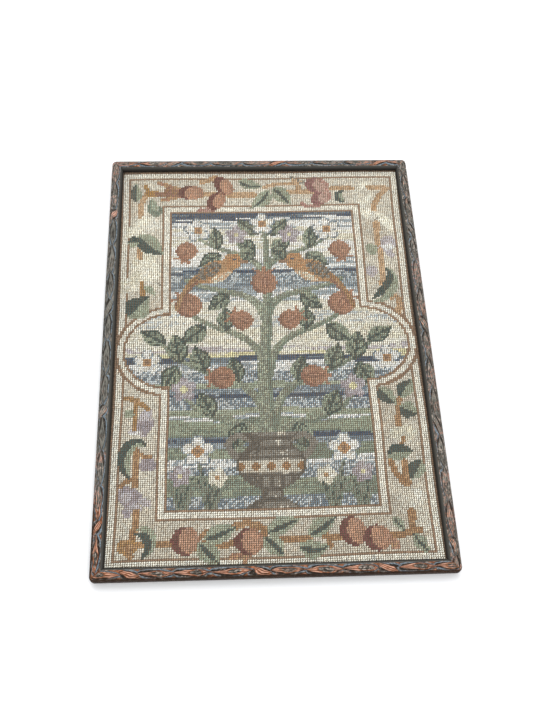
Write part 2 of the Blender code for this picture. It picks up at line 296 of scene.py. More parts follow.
# Branches: three points that bend each one's curve
BORDER_BRANCHES = rows(
    "yarn width points",
    ("light ochre", 3, ((-65, 80), (-65, 90), (-61, 95))),
    ("mustard", 2.2, ((-62, 100), (-61, 96), (-58, 95))),
    ("mustard", 3.6, ((-60.5, 95.3), (-58, 95.2), (-56, 94.8))),
    ("dark terracotta", 3, ((-56, 95), (-52, 94.8), (-48, 94.8))),
    ("dark terracotta", 7.4, ((-48.5, 95.5), (-46, 95.5), (-43, 95.5))),
    ("terracotta", 2.4, ((-54.5, 102), (-50, 100), (-44, 98))),
    ("terracotta", 2, ((-53.5, 91.4), (-49, 91), (-44, 93))),
    ("light ochre", 2.4, ((-31, 94), (-24, 95), (-17, 94))),
    ("ochre", 2.8, ((-32, 102.5), (-28, 103), (-24.5, 106))),
    ("dusty rose", 4, ((-32.5, 83.5), (-29, 83), (-26, 85.5))),
    ("light ochre", 3.2, ((-17, 94), (-10, 94), (-4, 94))),
    ("ochre", 3.2, ((-32, 94), (-24, 95), (-17, 94))),
    ("light ochre", 2.4, ((2, 99), (9, 102), (18, 101))),
    ("light ochre", 2.8, ((18, 102), (21, 100), (21, 96))),
    ("light ochre", 3, ((15, 95.5), (22, 95), (29, 96))),
    ("light ochre", 2.8, ((37, 97), (44, 98), (50, 97))),
    ("taupe", 2, ((17, 105), (18, 103), (23, 102))),
    ("dusty rose", 2.2, ((22, 88), (23, 85.5), (31, 86))),
    ("light ochre", 2.8, ((58.5, 97.7), (64, 98), (68.5, 97))),
    ("light ochre", 3.2, ((68.2, 96.5), (62, 92), (60.2, 83.2))),
    ("ochre", 2.8, ((-65, 60), (-65, 57), (-64, 54))),
    ("gold", 2.4, ((-63, 39), (-62.5, 35), (-62.5, 30))),
    ("gold", 2.4, ((-69, -26), (-65, -25.5), (-58, -32))),
    ("gold", 2.4, ((-63.5, -27), (-64, -34), (-64, -42))),
    ("dark ochre", 3, ((-63, -50), (-63, -60), (-62.5, -69.5))),
    ("dark ochre", 2.2, ((-62, -54), (-60, -56), (-56, -56))),
    ("dark ochre", 2.6, ((-69, -70), (-66, -66), (-62, -67.5))),
    ("dark ochre", 3.4, ((-61.5, -82.5), (-61.3, -90), (-63, -96))),
    ("gold", 6.4, ((-66, -98), (-64.2, -99), (-63, -98))),
    ("gold", 3.4, ((-66, -97), (-61, -97.5), (-57, -97.5))),
    ("dark ochre", 3, ((-64.5, -98.5), (-63.5, -101), (-63, -102.5))),
    ("dark ochre", 3, ((-52, -97.3), (-49, -97.3), (-45, -97.3))),
    ("dark ochre", 2.4, ((-36, -95), (-33, -96), (-30, -92))),
    ("dark ochre", 2.6, ((-36, -99), (-33, -100), (-31, -97))),
    ("dark ochre", 3, ((-26, -98), (-22, -98.5), (-16, -97.5))),
    ("dark ochre", 3.2, ((-17, -90), (-10, -87), (-4, -92))),
    ("dark ochre", 3, ((-5, -91), (-4, -94), (-4, -95))),
    ("terracotta", 2.6, ((-19, -104), (-15, -102.5), (-11, -103))),
    ("terracotta", 3, ((-13, -102), (-13, -104), (-13, -106))),
    ("dark ochre", 3, ((3, -96.5), (9, -97), (15, -96.5))),
    ("dark ochre", 3, ((22, -95), (25, -98), (30, -96))),
    ("dark ochre", 2.2, ((24, -97), (24.5, -99), (24.5, -101))),
    ("light terracotta", 4.4, ((49, -96), (52, -98), (53, -101))),
    ("dark ochre", 3, ((51, -96), (56, -97), (61, -95))),
    ("dark ochre", 3.2, ((62, -86), (62, -91), (61.5, -96))),
    ("dark ochre", 2.6, ((61, -95), (63, -94.5), (65, -94.5))),
    ("light ochre", 3.2, ((61, 74), (61, 68), (60.5, 61))),
    ("light ochre", 3.2, ((61.5, 57), (61.5, 46), (61, 36))),
    ("ochre", 3.4, ((65.3, 28), (69.8, 29.8), (67.8, 20))),
    ("dark ochre", 2.4, ((64, -28), (60.5, -31), (60.5, -43))),
    ("dark ochre", 2, ((62, -50), (61.5, -52), (61, -54))),
    ("dark ochre", 2.8, ((55, -60), (56, -68), (62, -73))),
    ("dark ochre", 3.2, ((61.5, -62), (61.5, -67), (62, -72))),
)

# Blossoms: their size, turn and two yarns
BORDER_BLOSSOMS = rows(
    "x y length width turn yarn second",
    (-62, 75, 15, 10, 20, "ivory", "cream"), (-66, 70.5, 10, 8, -20, "ivory", "straw"),
    (-62.3, 84.5, 3.4, 9, 0, "ivory", "cream"), (-57, 74, 9, 9, 60, "cream", "linen"),
    (-62, 52, 17, 12, 70, "ivory", "straw"), (-58, 45, 12, 10, 20, "ivory", "cream"),
    (-66, 40, 12, 9, 80, "ivory", "straw"), (-57, 37, 8, 7, 0, "cream", "linen"),
    (-59, -39, 14, 7.5, 82, "lilac", "pale lilac"), (-64, -43.5, 6, 3, 0, "pale lilac", "white"),
    (-57, -60, 8, 7, 0, "lilac", "lilac"), (-65, -75, 12, 9, -25, "lilac", "pale lilac"),
    (-58, -78, 7, 3.4, -20, "lilac", "pale lilac"), (-65.5, -82, 4, 6, 0, "lilac", "pale lilac"),
    (-62, -81, 6, 6, 0, "pale lilac", "white"), (57, 81, 14, 6, -46, "ivory", "cream"),
    (66, 75.5, 14, 6, -46, "ivory", "cream"), (56, 94, 16, 9, 80, "ivory", "linen"),
    (66, 62, 9, 8, 0, "pale lilac", "pale lilac"), (66, 55.5, 8, 4, -60, "lilac", "pale lilac"),
    (61.5, 59, 4, 5, 0, "pale lilac", "white"), (66, 59, 7, 3.6, 0, "white", "white"),
    (56, 44, 6, 7, 0, "pale lilac", "pale lilac"), (62, -47, 13, 8, 0, "straw", "cream"),
    (62.5, -79, 15, 9, 0, "linen", "cream"), (67.5, -91, 5.5, 9, 0, "cream", "linen"),
    (68, -101, 5, 8, 0, "cream", "linen"),
)

# Darkened places of the needlework: their middle and reach in stitches, and how much light they lose
DARKENED_PLACES = rows(
    "x y across up lost",
    (-73, 0, 4, 200, 0.07), (0, 107, 60, 4, 0.10), (-73, 100, 6, 14, 0.16), (-45, 101, 12, 6, 0.08),
    (56, -81, 8, 10, 0.08),
)

# Stray dark stitches, and places where the ground's yarns run over the brown line
SPECKS = rows("x y", (60.5, 76.5), (61.5, 77.5), (-54.5, 38.5), (-53.5, 37.5), (70.5, 25.5))
LINE_GAPS = rows("x y width height", (-70.5, 70.5, 2, 6), (-71.5, 37.5, 4, 8))


def numbers(*names):
    """The numbers of the named yarns."""
    return np.array([YARN_NUMBER[name] for name in names])


def chance(seed):
    """A random number from 0 to 1 for each stitch."""
    return np.random.default_rng(seed).random((ROWS, COLUMNS))


def lay(chart, where, *names, seed=0):
    """Works the masked stitches: in one yarn, or in several, each stitch drawing one at random."""
    drawn = np.random.default_rng(seed).integers(0, len(names), chart.shape)
    chart[where] = numbers(*names)[drawn][where]


def disc(x, y, radius):
    """Mask of the stitches within a circle."""
    return np.hypot(X - x, Y - y) <= radius


def turned(x, y, turn):
    """Chart coordinates along and across a direction that is turned from the X axis."""
    c, s = direction(turn)
    return (X - x) * c + (Y - y) * s, (Y - y) * c - (X - x) * s


def oval(x, y, length, width, turn):
    """Mask of the stitches within an ellipse whose length is turned from the X axis."""
    along, across = turned(x, y, turn)
    return (2 * along / length) ** 2 + (2 * across / width) ** 2 <= 1


def curve(controls):
    """Points of a Bezier curve: the controls weighted by the Bernstein polynomials."""
    controls = np.array(controls, float)
    degree = len(controls) - 1
    t = np.linspace(0, 1, CURVE_POINTS)[:, None]
    terms = [math.comb(degree, k) * t ** k * (1 - t) ** (degree - k) for k in range(degree + 1)]
    return sum(term * control for term, control in zip(terms, controls))


def stroke(controls, width, end_width=None, bulge=False):
    """Mask of a stem: stitches nearer to a curve than half its width. The width may taper to its
    end, or bulge as a sine from a quarter at both ends."""
    points = curve(controls)
    widths = np.linspace(width, width if end_width is None else end_width, len(points))
    if bulge:
        widths *= 0.25 + 0.75 * np.sin(math.pi * np.linspace(0, 1, len(points)))
    gap = np.hypot(X[..., None] - points[:, 0], Y[..., None] - points[:, 1]) - widths / 2
    return gap.min(-1) <= 0


def panel_depth():
    """Distance inside the panel's outline: the deeper of a rectangle and its two side lobes, which
    are half ovals and sit at slightly different heights."""
    upright = np.minimum(PANEL_HALF_WIDTH - abs(X), PANEL_HALF_HEIGHT - abs(Y))
    out, up = abs(X) - PANEL_HALF_WIDTH, Y - LOBE_MIDDLE
    far = np.hypot(out / LOBE_REACH, up / LOBE_RISE)
    lobe = (1 - far) * np.hypot(out, up) / np.maximum(far, 0.01)
    return np.maximum(upright, lobe)


def work_stem(chart, controls, width, end_width, names, shade, seed):
    """A stem in mixed yarns with a shaded lower right edge."""
    where = stroke(controls, width, end_width)
    lay(chart, where, *names, seed=seed)
    moved = [(x - width * 0.22, y + width * 0.22) for x, y in controls]
    lit = stroke(moved, width * 0.95, end_width * 0.95)
    lay(chart, where & ~lit, shade)


def work_leaf(chart, x, y, turn, length, width, seed):
    """An almond leaf, whose half-width is width / 2 times a sine of the way along. One half is
    lighter, and a dark midrib with slanting side veins runs through it."""
    along, across = turned(x, y, turn)
    a = along / length
    half = width / 2 * np.sin(math.pi * np.clip(a, 0, 1) ** 0.85)
    inside = (a > 0) & (a < 1) & (abs(across) < half)
    lay(chart, inside, "green", "green", "light green", seed=seed)
    lay(chart, inside & (across > 0), "light green", "light green", "green", seed=seed + 1)
    vein_step, vein_width = 4.4, 1.05
    vein = np.mod(along - abs(across) * 1.1, vein_step) < vein_width
    lay(chart, inside & vein & (abs(across) < half - 0.8) & (a < 0.85), "dark green")
    lay(chart, inside & (abs(across) < 0.62) & (a < 0.95), "dark green")
    lay(chart, inside & (across < -half + 0.9), "dark green")


def work_border_leaf(chart, x, y, turn, length, width, bend, low, high, seed):
    """A smooth leaf of the border: pale, with one dark zone along it, which may be half of it."""
    along, across = turned(x, y, turn)
    a = along / length
    across = across - bend * width * (a - a * a) * 2
    half = width / 2 * np.sin(math.pi * np.clip(a, 0, 1) ** 0.8)
    inside = (a > 0) & (a < 1) & (abs(across) < half)
    lay(chart, inside, "light green", "light green", "sage", "light green", seed=seed)
    dark = (across > half * low) & (across < half * high) & (a > 0.04) & (a < 0.97)
    lay(chart, inside & dark, "dark green")


def work_crescent(chart, dark, light, width, shade, seed):
    """A curled leaf: a pale stroke with a dark one along its outer side, both thin at their ends."""
    lay(chart, stroke(light, width, bulge=True), "light green", "sage", "light green", seed=seed)
    lay(chart, stroke(dark, 0.8 * width, bulge=True), shade)


def work_pomegranate(chart, x, y, radius, turn, seed):
    """A round fruit with a crown of three points at its end and a slit of seeds in its side."""
    c, s = direction(turn)
    for spread in (-34, 0, 34):
        out, up = direction(turn + spread)
        tip = (x + out * radius * 1.5, y + up * radius * 1.5)
        crown = stroke([(x + c * radius * 0.8, y + s * radius * 0.8), tip], 2.6, 1.0)
        lay(chart, crown, "terracotta")
    lay(chart, disc(x, y, radius), "terracotta", "terracotta", "light terracotta", "terracotta", seed=seed)
    lay(chart, disc(x, y, radius) & ~disc(x + 1.5, y + 1.0, radius), "dark terracotta")
    lay(chart, oval(x + 0.6, y + 0.4, radius * 1.2, radius * 0.5, turn), "dark terracotta")
    seeds = oval(x + 0.6, y + 0.4, radius * 0.9, radius * 0.26, turn)
    lay(chart, seeds, "light terracotta", "salmon", seed=seed + 1)


def work_border_fruit(chart, x, y, length, width, turn, drop, tone, seed):
    """A two-toned fruit: a deep crescent on the left, light next to it, and darker to the right.
    The crescent sits higher the more the rest is dropped."""
    light = (("salmon", "salmon", "light terracotta"), ("rose", "rose", "rose"))[tone]
    rim, deep = (("terracotta", "maroon"), ("dusty rose", "dark rose"))[tone]
    whole = oval(x, y, length, width, turn)
    lay(chart, whole, *light, seed=seed)
    lay(chart, whole & ~oval(x - 2.0, y - 0.8, length, width, turn), rim, light[2], seed=seed + 1)
    lay(chart, whole & ~oval(x + 3.2 + tone, y - drop, length, width, turn), deep)


def petals(x, y, radius, turn, depth):
    """Mask of a flower whose edge swings in and out with each petal, and the angle about it."""
    angle = np.arctan2(Y - y, X - x) - math.radians(turn)
    edge = radius * (1 - depth * (1 - abs(np.cos(angle * PETALS / 2))))
    return np.hypot(X - x, Y - y) <= edge, angle


def work_rose(chart, x, y, radius, turn, seed):
    """A dog rose: five white petals edged and parted in slate, and an ochre heart with a dark dot."""
    lay(chart, petals(x, y, radius + 0.9, turn, 0.38)[0], "pale slate", "slate", seed=seed + 2)
    where, angle = petals(x, y, radius, turn, 0.38)
    lay(chart, where, "white", "white", "cream", seed=seed)
    parting = abs(np.cos(angle * PETALS / 2)) < 0.26
    lay(chart, where & parting & ~disc(x, y, radius * 0.4), "pale slate")
    lay(chart, disc(x, y, radius * 0.36), "ochre", "orange", seed=seed + 1)
    lay(chart, disc(x, y, 0.9), "brown")


def work_blossom(chart, x, y, radius, turn, shade, pale, heart, seed):
    """A blossom of overlapping petals: pale, with its shaded side and partings in the other yarn."""
    where, angle = petals(x, y, radius, turn, 0.36)
    lay(chart, where, pale, pale, shade, seed=seed)
    lay(chart, where & ~petals(x + 1.4, y + 1.4, radius, turn, 0.36)[0], shade)
    parting = abs(np.cos(angle * PETALS / 2)) < 0.22
    lay(chart, where & parting & ~disc(x, y, radius * 0.35), shade)
    lay(chart, disc(x, y, radius * 0.24), heart)


def work_border_blossom(chart, x, y, length, width, turn, yarn, second, seed):
    """A faded blossom of the border: one soft petal shape whose two yarns mix by slow noise."""
    along, across = turned(x, y, turn)
    ragged = 0.35 * (value_noise(chart.shape, 60, 40, seed) - 0.5)
    where = (2 * along / length) ** 2 + (2 * across / width) ** 2 <= 1 + ragged
    mix = value_noise(chart.shape, 44, 30, seed + 1) + 0.15 * (chance(seed) - 0.5)
    lay(chart, where, yarn)
    lay(chart, where & (mix > 0.55), second)


def work_ground(chart, depth):
    """Streaky bands across the panel: two yarns a band, mixed by noise that is long across and by
    chance from stitch to stitch."""
    shape = chart.shape
    height = Y + 3.4 * (value_noise(shape, 40, 6, 11) - 0.5)
    streak = 0.7 * value_noise(shape, ROWS, 9, 12) + 0.3 * value_noise(shape, ROWS // 3, 7, 16)
    speckle = chance(13)
    for band in STREAKS:
        here = (depth > 0) & (height <= band["start"])
        mix = (1 - band["heather"]) * streak + band["heather"] * speckle
        lay(chart, here, band["yarn"])
        lay(chart, here & (mix < 0.2 + 0.6 * band["share"]), band["second"])


def work_field(chart, where):
    """The border's ground: near tones that drift slowly and grow lighter to the top."""
    shape = chart.shape
    lay(chart, where, "oat", "oat", "linen", seed=21)
    drift = value_noise(shape, 16, 9, 22) + 0.25 * (chance(23) - 0.5)
    drift += 0.12 * Y / (STITCH_ROWS / 2)
    lay(chart, where & (drift > 0.62), "linen", "oat", "linen", seed=24)
    lay(chart, where & (drift < 0.38), "sand", "oat", "sand", seed=25)


def work_border(chart, field):
    """The border's flowers, inside its lines, then its branches, then fruits and leaves on top."""
    plain = chart.copy()
    for number, motif in enumerate(BORDER_BLOSSOMS):
        work_border_blossom(chart, **motif, seed=300 + 3 * number)
    chart[~field] = plain[~field]
    for gap in LINE_GAPS:
        where = (abs(X - gap["x"]) <= gap["width"] / 2) & (abs(Y - gap["y"]) <= gap["height"] / 2)
        lay(chart, where, "straw", "cream", seed=391)
    for number, motif in enumerate(BORDER_BRANCHES):
        own = motif["yarn"]
        where = stroke(motif["points"], motif["width"])
        lay(chart, where, own, PARTNERS.get(own, COMMON_PARTNER), own, seed=400 + number)
    for number, motif in enumerate(BORDER_FRUITS):
        work_border_fruit(chart, **motif, seed=500 + 3 * number)
    for number, motif in enumerate(BORDER_LEAVES):
        work_border_leaf(chart, **motif, seed=600 + 5 * number)
    for number, motif in enumerate(CRESCENTS):
        work_crescent(chart, **motif, seed=800 + 5 * number)
    for speck in SPECKS:
        lay(chart, disc(speck["x"], speck["y"], 0.4), "taupe")


# The urn: half its width at each height above its foot, and the line of its right handle
URN_FOOT = -82
URN_RINGS = rows(
    "height half",
    (0, 11), (2, 9), (5, 4), (9, 4), (13, 11), (19, 15), (26, 14), (30, 9), (33, 8), (35, 10), (37, 12),
)
URN_HANDLE = ((12, 23), (25, 28), (21, 40), (8, 33))


def urn_half_width(height):
    """Half the urn's width at each height above its foot, joined straight between its rings."""
    heights = [ring["height"] for ring in URN_RINGS]
    return np.interp(height, heights, [ring["half"] for ring in URN_RINGS], -1, -1)


def work_urn(chart, foot):
    """The urn: a turned outline with two scrolled handles, banded, and shaded on its left."""
    height = Y - foot
    half = urn_half_width(height)
    body = abs(X) <= half
    for side in (-1, 1):
        handle = [(side * x, foot + y) for x, y in URN_HANDLE]
        lay(chart, stroke(handle, 3.2), "taupe")
        lay(chart, disc(side * 10.5, foot + 22.5, 2.4), "dark taupe")
    beside = 1.2 * (height > 0) * (height < URN_RINGS[-1]["height"])
    lay(chart, abs(X) <= half + beside, "dark taupe")
    lay(chart, body, "taupe")
    lay(chart, body & (X < -half * 0.45), "taupe", "dark taupe", seed=33)
    lay(chart, body & (X < -half * 0.75), "dark taupe")
    lay(chart, body & (X > half * 0.3) & (X < half * 0.62), "oat", "taupe", seed=34)
    for ring in (4, 9, 29, 34):
        lay(chart, body & (abs(height - ring) < 0.8), "dark taupe")
    tongues = (abs(height - 12) < 3) & (abs(np.mod(X + 2.5, 5) - 2.5) < 1.3)
    lay(chart, body & tongues, "dark taupe")
    belt = abs(height - 20)
    lay(chart, body & (belt < 3.4), "oat", "sand", seed=35)
    lozenge = abs(np.mod(X + 3.5, 7) - 3.5) + belt < 3.0
    lay(chart, body & lozenge, "dark ochre")
    lay(chart, body & (abs(belt - 4.2) < 0.6), "dark taupe")


def work_bird(chart, x, y, side):
    """A plain perched bird that faces the middle: an oval body, a round head and a long tail."""
    tail = [(x + side * 6, y - 2), (x + side * 15, y - 7), (x + side * 20, y - 22)]
    lay(chart, stroke(tail, 5.5, 2.0), "ochre", "dark ochre", seed=41)
    shaft = [(x + side * 7, y - 4), (x + side * 15, y - 10), (x + side * 18, y - 22)]
    lay(chart, stroke(shaft, 1.6, 1.2), "dark terracotta")
    body = oval(x, y, 21, 13, 26 * -side)
    lay(chart, body, "ochre", "ochre", "orange", "ochre", seed=42)
    lay(chart, body & oval(x - side * 3.5, y - 4, 14, 6, 26 * -side), "pale salmon", "straw", seed=43)
    wing = oval(x + side * 3.5, y + 0.5, 15, 7.5, 36 * -side)
    lay(chart, wing, "taupe", "dark ochre", "taupe", seed=44)
    bars = np.mod(turned(x, y, 36 * -side)[0], 3.4) < 1.0
    lay(chart, wing & bars, "dark taupe")
    lay(chart, disc(x - side * 9, y + 6.5, 4.8), "ochre", "orange", seed=45)
    lay(chart, oval(x - side * 14.8, y + 6, 5, 2.4, 10 * side), "brown")
    lay(chart, disc(x - side * 10, y + 7.5, 0.8), "navy")


def work_tuft(chart, x, y, blades, seed):
    """Grass blades that fan out from one foot, lighter and darker by turns."""
    for number, lean in enumerate(np.linspace(-1, 1, blades)):
        tip = (x + lean * 9, y + 15 - abs(lean) * 4)
        names = ("green", "moss") if number % 2 == 0 else ("dark green", "green")
        lay(chart, stroke([(x + lean * 2, y), (x + lean * 3, y + 8), tip], 2.4, 1.0), *names, seed=seed)


# The picture's right half, in stitches from the middle. Stems and stalks run from foot to tip.
STEMS = rows(
    "points width end",
    (((2, -54), (4, -34), (30, -44), (40, -26)), 5.5, 2.6),
    (((2, -40), (6, -8), (34, -22), (52, 4)), 5.0, 2.2),
    (((1, -14), (4, 14), (26, 6), (40, 22)), 4.6, 2.2),
    (((1, 18), (4, 36), (24, 30), (40, 40)), 4.4, 2.4),
    (((1, 44), (4, 58), (20, 54), (34, 66)), 4.0, 1.8),
)
LEAVES = rows(
    "x y turn length width",
    (12, -40, -64, 16, 10), (27, -37, 64, 15, 10), (14, -19, 76, 15, 9), (30, -13, 68, 16, 10),
    (43, -8, 80, 17, 11), (44, -9, -62, 15, 10), (20, 10, 88, 14, 9), (30, 13, -40, 16, 10),
    (18, 31, -38, 14, 9), (10, 50, 108, 13, 8), (22, 56, -34, 14, 9), (24, 59, 84, 14, 8),
    (2, 68, 40, 15, 9), (4, 58, 34, 13, 8), (50, 3, 30, 15, 9),
)
POMEGRANATES = rows(
    "x y radius turn",
    (22, -16, 5.8, 0), (39, 25, 6.8, 50), (12, 16, 5.6, 30), (40, 58, 5.6, -70),
)
STALKS = (((30, -78), (32, -64), (34, -58)), ((42, -78), (43, -68)))
TUFTS = rows("x y blades seed", (28, -81, 7, 88), (41, -81, 5, 89))
ROSES = rows("x y radius turn seed", (59, -7, 6.6, 90, 76), (34, 71, 6.8, 100, 77), (34, -54, 7.4, 90, 79))
BLOSSOMS = rows(
    "x y radius turn shade pale heart seed",
    (14, 68, 6.0, 15, "lilac", "pale lilac", "primrose", 78),
    (41, -22, 6.6, 20, "lilac", "pale lilac", "primrose", 83),
    (42, -66, 5.4, 30, "lilac", "pale lilac", "primrose", 82),
    (25, -67, 5.0, 0, "straw", "cream", "ochre", 84),
)
STEM_YARNS = ("moss", "light green", "moss", "sage")
TRUNK = ((0, -50), (-6, -10), (6, 30), (0, 76))
BIRD_PLACE = (25, 45)


def mirrored(points, side):
    """The points of the right half as they are, or moved to the left half."""
    return [(side * x, y) for x, y in points]


def placed(motif, side):
    """A motif of the right half as it is, or moved to the left half."""
    return dict(motif, x=side * motif["x"])


def facing(motif, side):
    """A motif of the right half as it is, or moved to the left half and turned the other way."""
    return dict(placed(motif, side), turn=motif["turn"] if side > 0 else 180 - motif["turn"])


def work_half(chart, side):
    """One half of the picture over its stems: leaves and fruit, a bird, grass, and the flowers."""
    for number, leaf in enumerate(LEAVES):
        work_leaf(chart, **facing(leaf, side), seed=60 + number)
    for number, fruit in enumerate(POMEGRANATES):
        work_pomegranate(chart, **facing(fruit, side), seed=90 + number)
    work_bird(chart, side * BIRD_PLACE[0], BIRD_PLACE[1], side)
    for tuft in TUFTS:
        work_tuft(chart, **placed(tuft, side))
    for stalk in STALKS:
        work_stem(chart, mirrored(stalk, side), 1.8, 1.8, ("green", "moss"), "dark green", 81)
    for rose in ROSES:
        work_rose(chart, **placed(rose, side))
    for blossom in BLOSSOMS:
        work_blossom(chart, **placed(blossom, side))


def work_picture(chart):
    """A two-handled urn of leaves, fruit and flowers, the same on both sides, with two birds."""
    for side in (-1, 1):
        for number, stem in enumerate(STEMS):
            line = mirrored(stem["points"], side)
            work_stem(chart, line, stem["width"], stem["end"], STEM_YARNS, "green", 51 + number)
    work_stem(chart, TRUNK, 8.5, 3.0, STEM_YARNS, "green", 57)
    for side in (-1, 1):
        work_half(chart, side)
    work_rose(chart, 0, 75, 6.4, turn=90, seed=85)
    work_pomegranate(chart, 0, 38, 6.6, turn=90, seed=86)
    work_urn(chart, URN_FOOT)


def stitch_chart():
    """The whole chart: bands, border, panel bands and picture, one yarn number for each stitch.
    The brown lines are a little wider round the lobes. Also gives each stitch's distance inside the
    sight edge and inside the panel."""
    chart = np.full((ROWS, COLUMNS), YARN_NUMBER["brown"])
    inset = np.minimum(STITCHES_ACROSS / 2 - abs(X), STITCH_ROWS / 2 - abs(Y))
    depth = panel_depth()
    work_field(chart, inset > BANDS[-1]["to"])
    start = 0
    for band in BANDS:
        lay(chart, (inset > start) & (inset < band["to"]), band["yarn"])
        start = band["to"]
    for band in reversed(BANDS):
        lay(chart, depth > -band["to"], band["yarn"])
    curved = (abs(X) > PANEL_HALF_WIDTH + 1) & (abs(Y - LOBE_MIDDLE) < LOBE_RISE + 4)
    lay(chart, curved & ((abs(depth + 0.55) < 0.75) | (abs(depth + 4.65) < 0.85)), "brown")
    border = chart.copy()
    work_border(border, (inset > BANDS[-1]["to"]) & (depth < -BANDS[-1]["to"]))
    chart = np.where((inset > 1) & (depth < -1), border, chart)
    work_ground(chart, depth)
    picture = chart.copy()
    work_picture(picture)
    return np.where(depth > 0, picture, chart), inset, depth


def stitch_places():
    """Where each stitch's middle lies on the cloth. The canvas was stretched unevenly, so its
    rows and columns waver. With p and q as the way out to the sight edges, from -1 to 1, the sides
    are drawn in at their middles, one place is puckered, and all sits low, least so at the top."""
    x, y = X * STITCH, Y * STITCH
    p, q = X / (STITCHES_ACROSS / 2), Y / (STITCH_ROWS / 2)
    sway = 0.5 * q - p * (0.3 - 2.4 * q * q) - 0.9 * (1 - p * p)
    pucker = 0.5 * (1 + p) * np.exp(-((y + 0.075) / 0.055) ** 2)
    sway += pucker + 0.25 * np.sin(2 * math.pi * y / 0.11 + x * 9)
    lift = 0.9 * p - 2.9 + 3.0 * np.clip(q, 0, 1) ** 4
    lift -= (0.25 + 0.5 * q ** 4) * np.cos(2 * math.pi * x / 0.22)
    return x + sway * MM, y + lift * MM


def cloth_lift(x, y):
    """How far the stretched cloth stands proud: a low crown that dies out at the sight edges."""
    across = np.clip(1 - (2 * x / (SIGHT_RIGHT - SIGHT_LEFT)) ** 2, 0, 1)
    along = np.clip(1 - (2 * y / (SIGHT_TOP - SIGHT_BOTTOM)) ** 2, 0, 1)
    return CLOTH_SWELL * across * along


def mesh_object(name, points, faces, smooth=True):
    """An object at the origin from an array of points, and arrays of faces with as many corners
    each as the array has columns."""
    mesh = bpy.data.meshes.new(name)
    mesh.vertices.add(len(points))
    mesh.vertices.foreach_set("co", np.ascontiguousarray(points, np.float32).ravel())
    corners = np.concatenate([group.ravel() for group in faces])
    sizes = np.concatenate([np.full(len(group), group.shape[1]) for group in faces])
    mesh.loops.add(len(corners))
    mesh.loops.foreach_set("vertex_index", corners.astype(np.int32))
    mesh.polygons.add(len(sizes))
    starts = np.concatenate([[0], np.cumsum(sizes)[:-1]])
    mesh.polygons.foreach_set("loop_start", starts.astype(np.int32))
    mesh.polygons.foreach_set("use_smooth", np.full(len(sizes), smooth))
    mesh.update(calc_edges=True)
    mesh.validate()
    item = bpy.data.objects.new(name, mesh)
    bpy.context.scene.collection.objects.link(item)
    return item


def add_map(item, name, per_point):
    """A UV map from one pair of numbers for each point."""
    mesh = item.data
    corners = np.zeros(len(mesh.loops), np.int32)
    mesh.loops.foreach_get("vertex_index", corners)
    layer = mesh.uv_layers.new(name=name)
    layer.uv.foreach_set("vector", np.ascontiguousarray(per_point[corners], np.float32).ravel())


def add_colours(item, name, per_point):
    """A colour for each point, as linear light with an alpha of one."""
    attribute = item.data.color_attributes.new(name, "FLOAT_COLOR", "POINT")
    full = np.concatenate([per_point, np.ones((len(per_point), 1))], axis=1)
    attribute.data.foreach_set("color", full.astype(np.float32).ravel())


def stitch_template():
    """One plump stitch: two five-point arches between two buried tips, closed underneath.

    Columns: across and along in stitch widths and lengths, and height from 0 to 1.
    """
    across = np.array([-0.5, -0.33, 0.0, 0.33, 0.5])
    height = np.array([-0.12, 0.66, 1.0, 0.66, -0.12])
    arch = [np.stack([across, np.full(5, along), height], 1) for along in (-0.25, 0.25)]
    points = np.concatenate([[[0, -0.5, -0.1]], arch[0], arch[1], [[0, 0.5, -0.1]]])
    near, far, tip = 1, 6, 11
    threes = [(0, near + k + 1, near + k) for k in range(4)]
    threes += [(tip, far + k, far + k + 1) for k in range(4)]
    threes += [(0, near, near + 4), (tip, far + 4, far)]
    fours = [(near + k, near + k + 1, far + k + 1, far + k) for k in range(4)]
    fours += [(near, far, far + 4, near + 4)]
    return points, np.array(threes), np.array(fours)


def yarn_tones(chart, inset):
    """Each stitch's colour: its yarn's, lighter or darker by chance and along slow streaks, and
    darker beside the frame's lip, as painted shade of the lip's shadow."""
    random = np.random.default_rng(5)
    colours = np.array([linear(colour) for colour in YARNS.values()])[chart]
    tone = 1 + 0.11 * random.standard_normal(chart.shape).clip(-2, 2)
    tone *= 0.94 + 0.12 * value_noise(chart.shape, 70, 20, 6)
    # Painted shade: the stitches next to the sight edge are darkened as if they lay in the lip's shadow.
    tone *= 0.62 + 0.38 * smoothstep(-1, 2, inset)
    # Each listed place is made darker, most of all at its middle.
    for place in DARKENED_PLACES:
        far = ((X - place["x"]) / place["across"]) ** 2 + ((Y - place["y"]) / place["up"]) ** 2
        tone *= 1 - place["lost"] * np.exp(-far)
    warmth = 1 + 0.02 * random.standard_normal(chart.shape)
    return colours * tone[..., None] * np.stack([warmth, np.ones_like(warmth), 2 - warmth], -1)


def add_stitch_maps(item, keep, across, along):
    """Two maps of the kept stitches, each stitch in its own cell: one in whole stitches, which the
    wool's pattern reads, and one that fills the square."""
    down, right = np.nonzero(keep)
    u = right[:, None] + np.clip(across + 0.5, 0.03, 0.97)
    v = (down.max() - down)[:, None] + np.clip(along + 0.5, 0.03, 0.97)
    add_map(item, "stitch", np.stack([u, v], -1).reshape(-1, 2))
    u_share = (u - right.min()) / (right.max() - right.min() + 1)
    v_share = v / (down.max() - down.min() + 1)
    add_map(item, "OFBake", np.stack([u_share, v_share], -1).reshape(-1, 2))


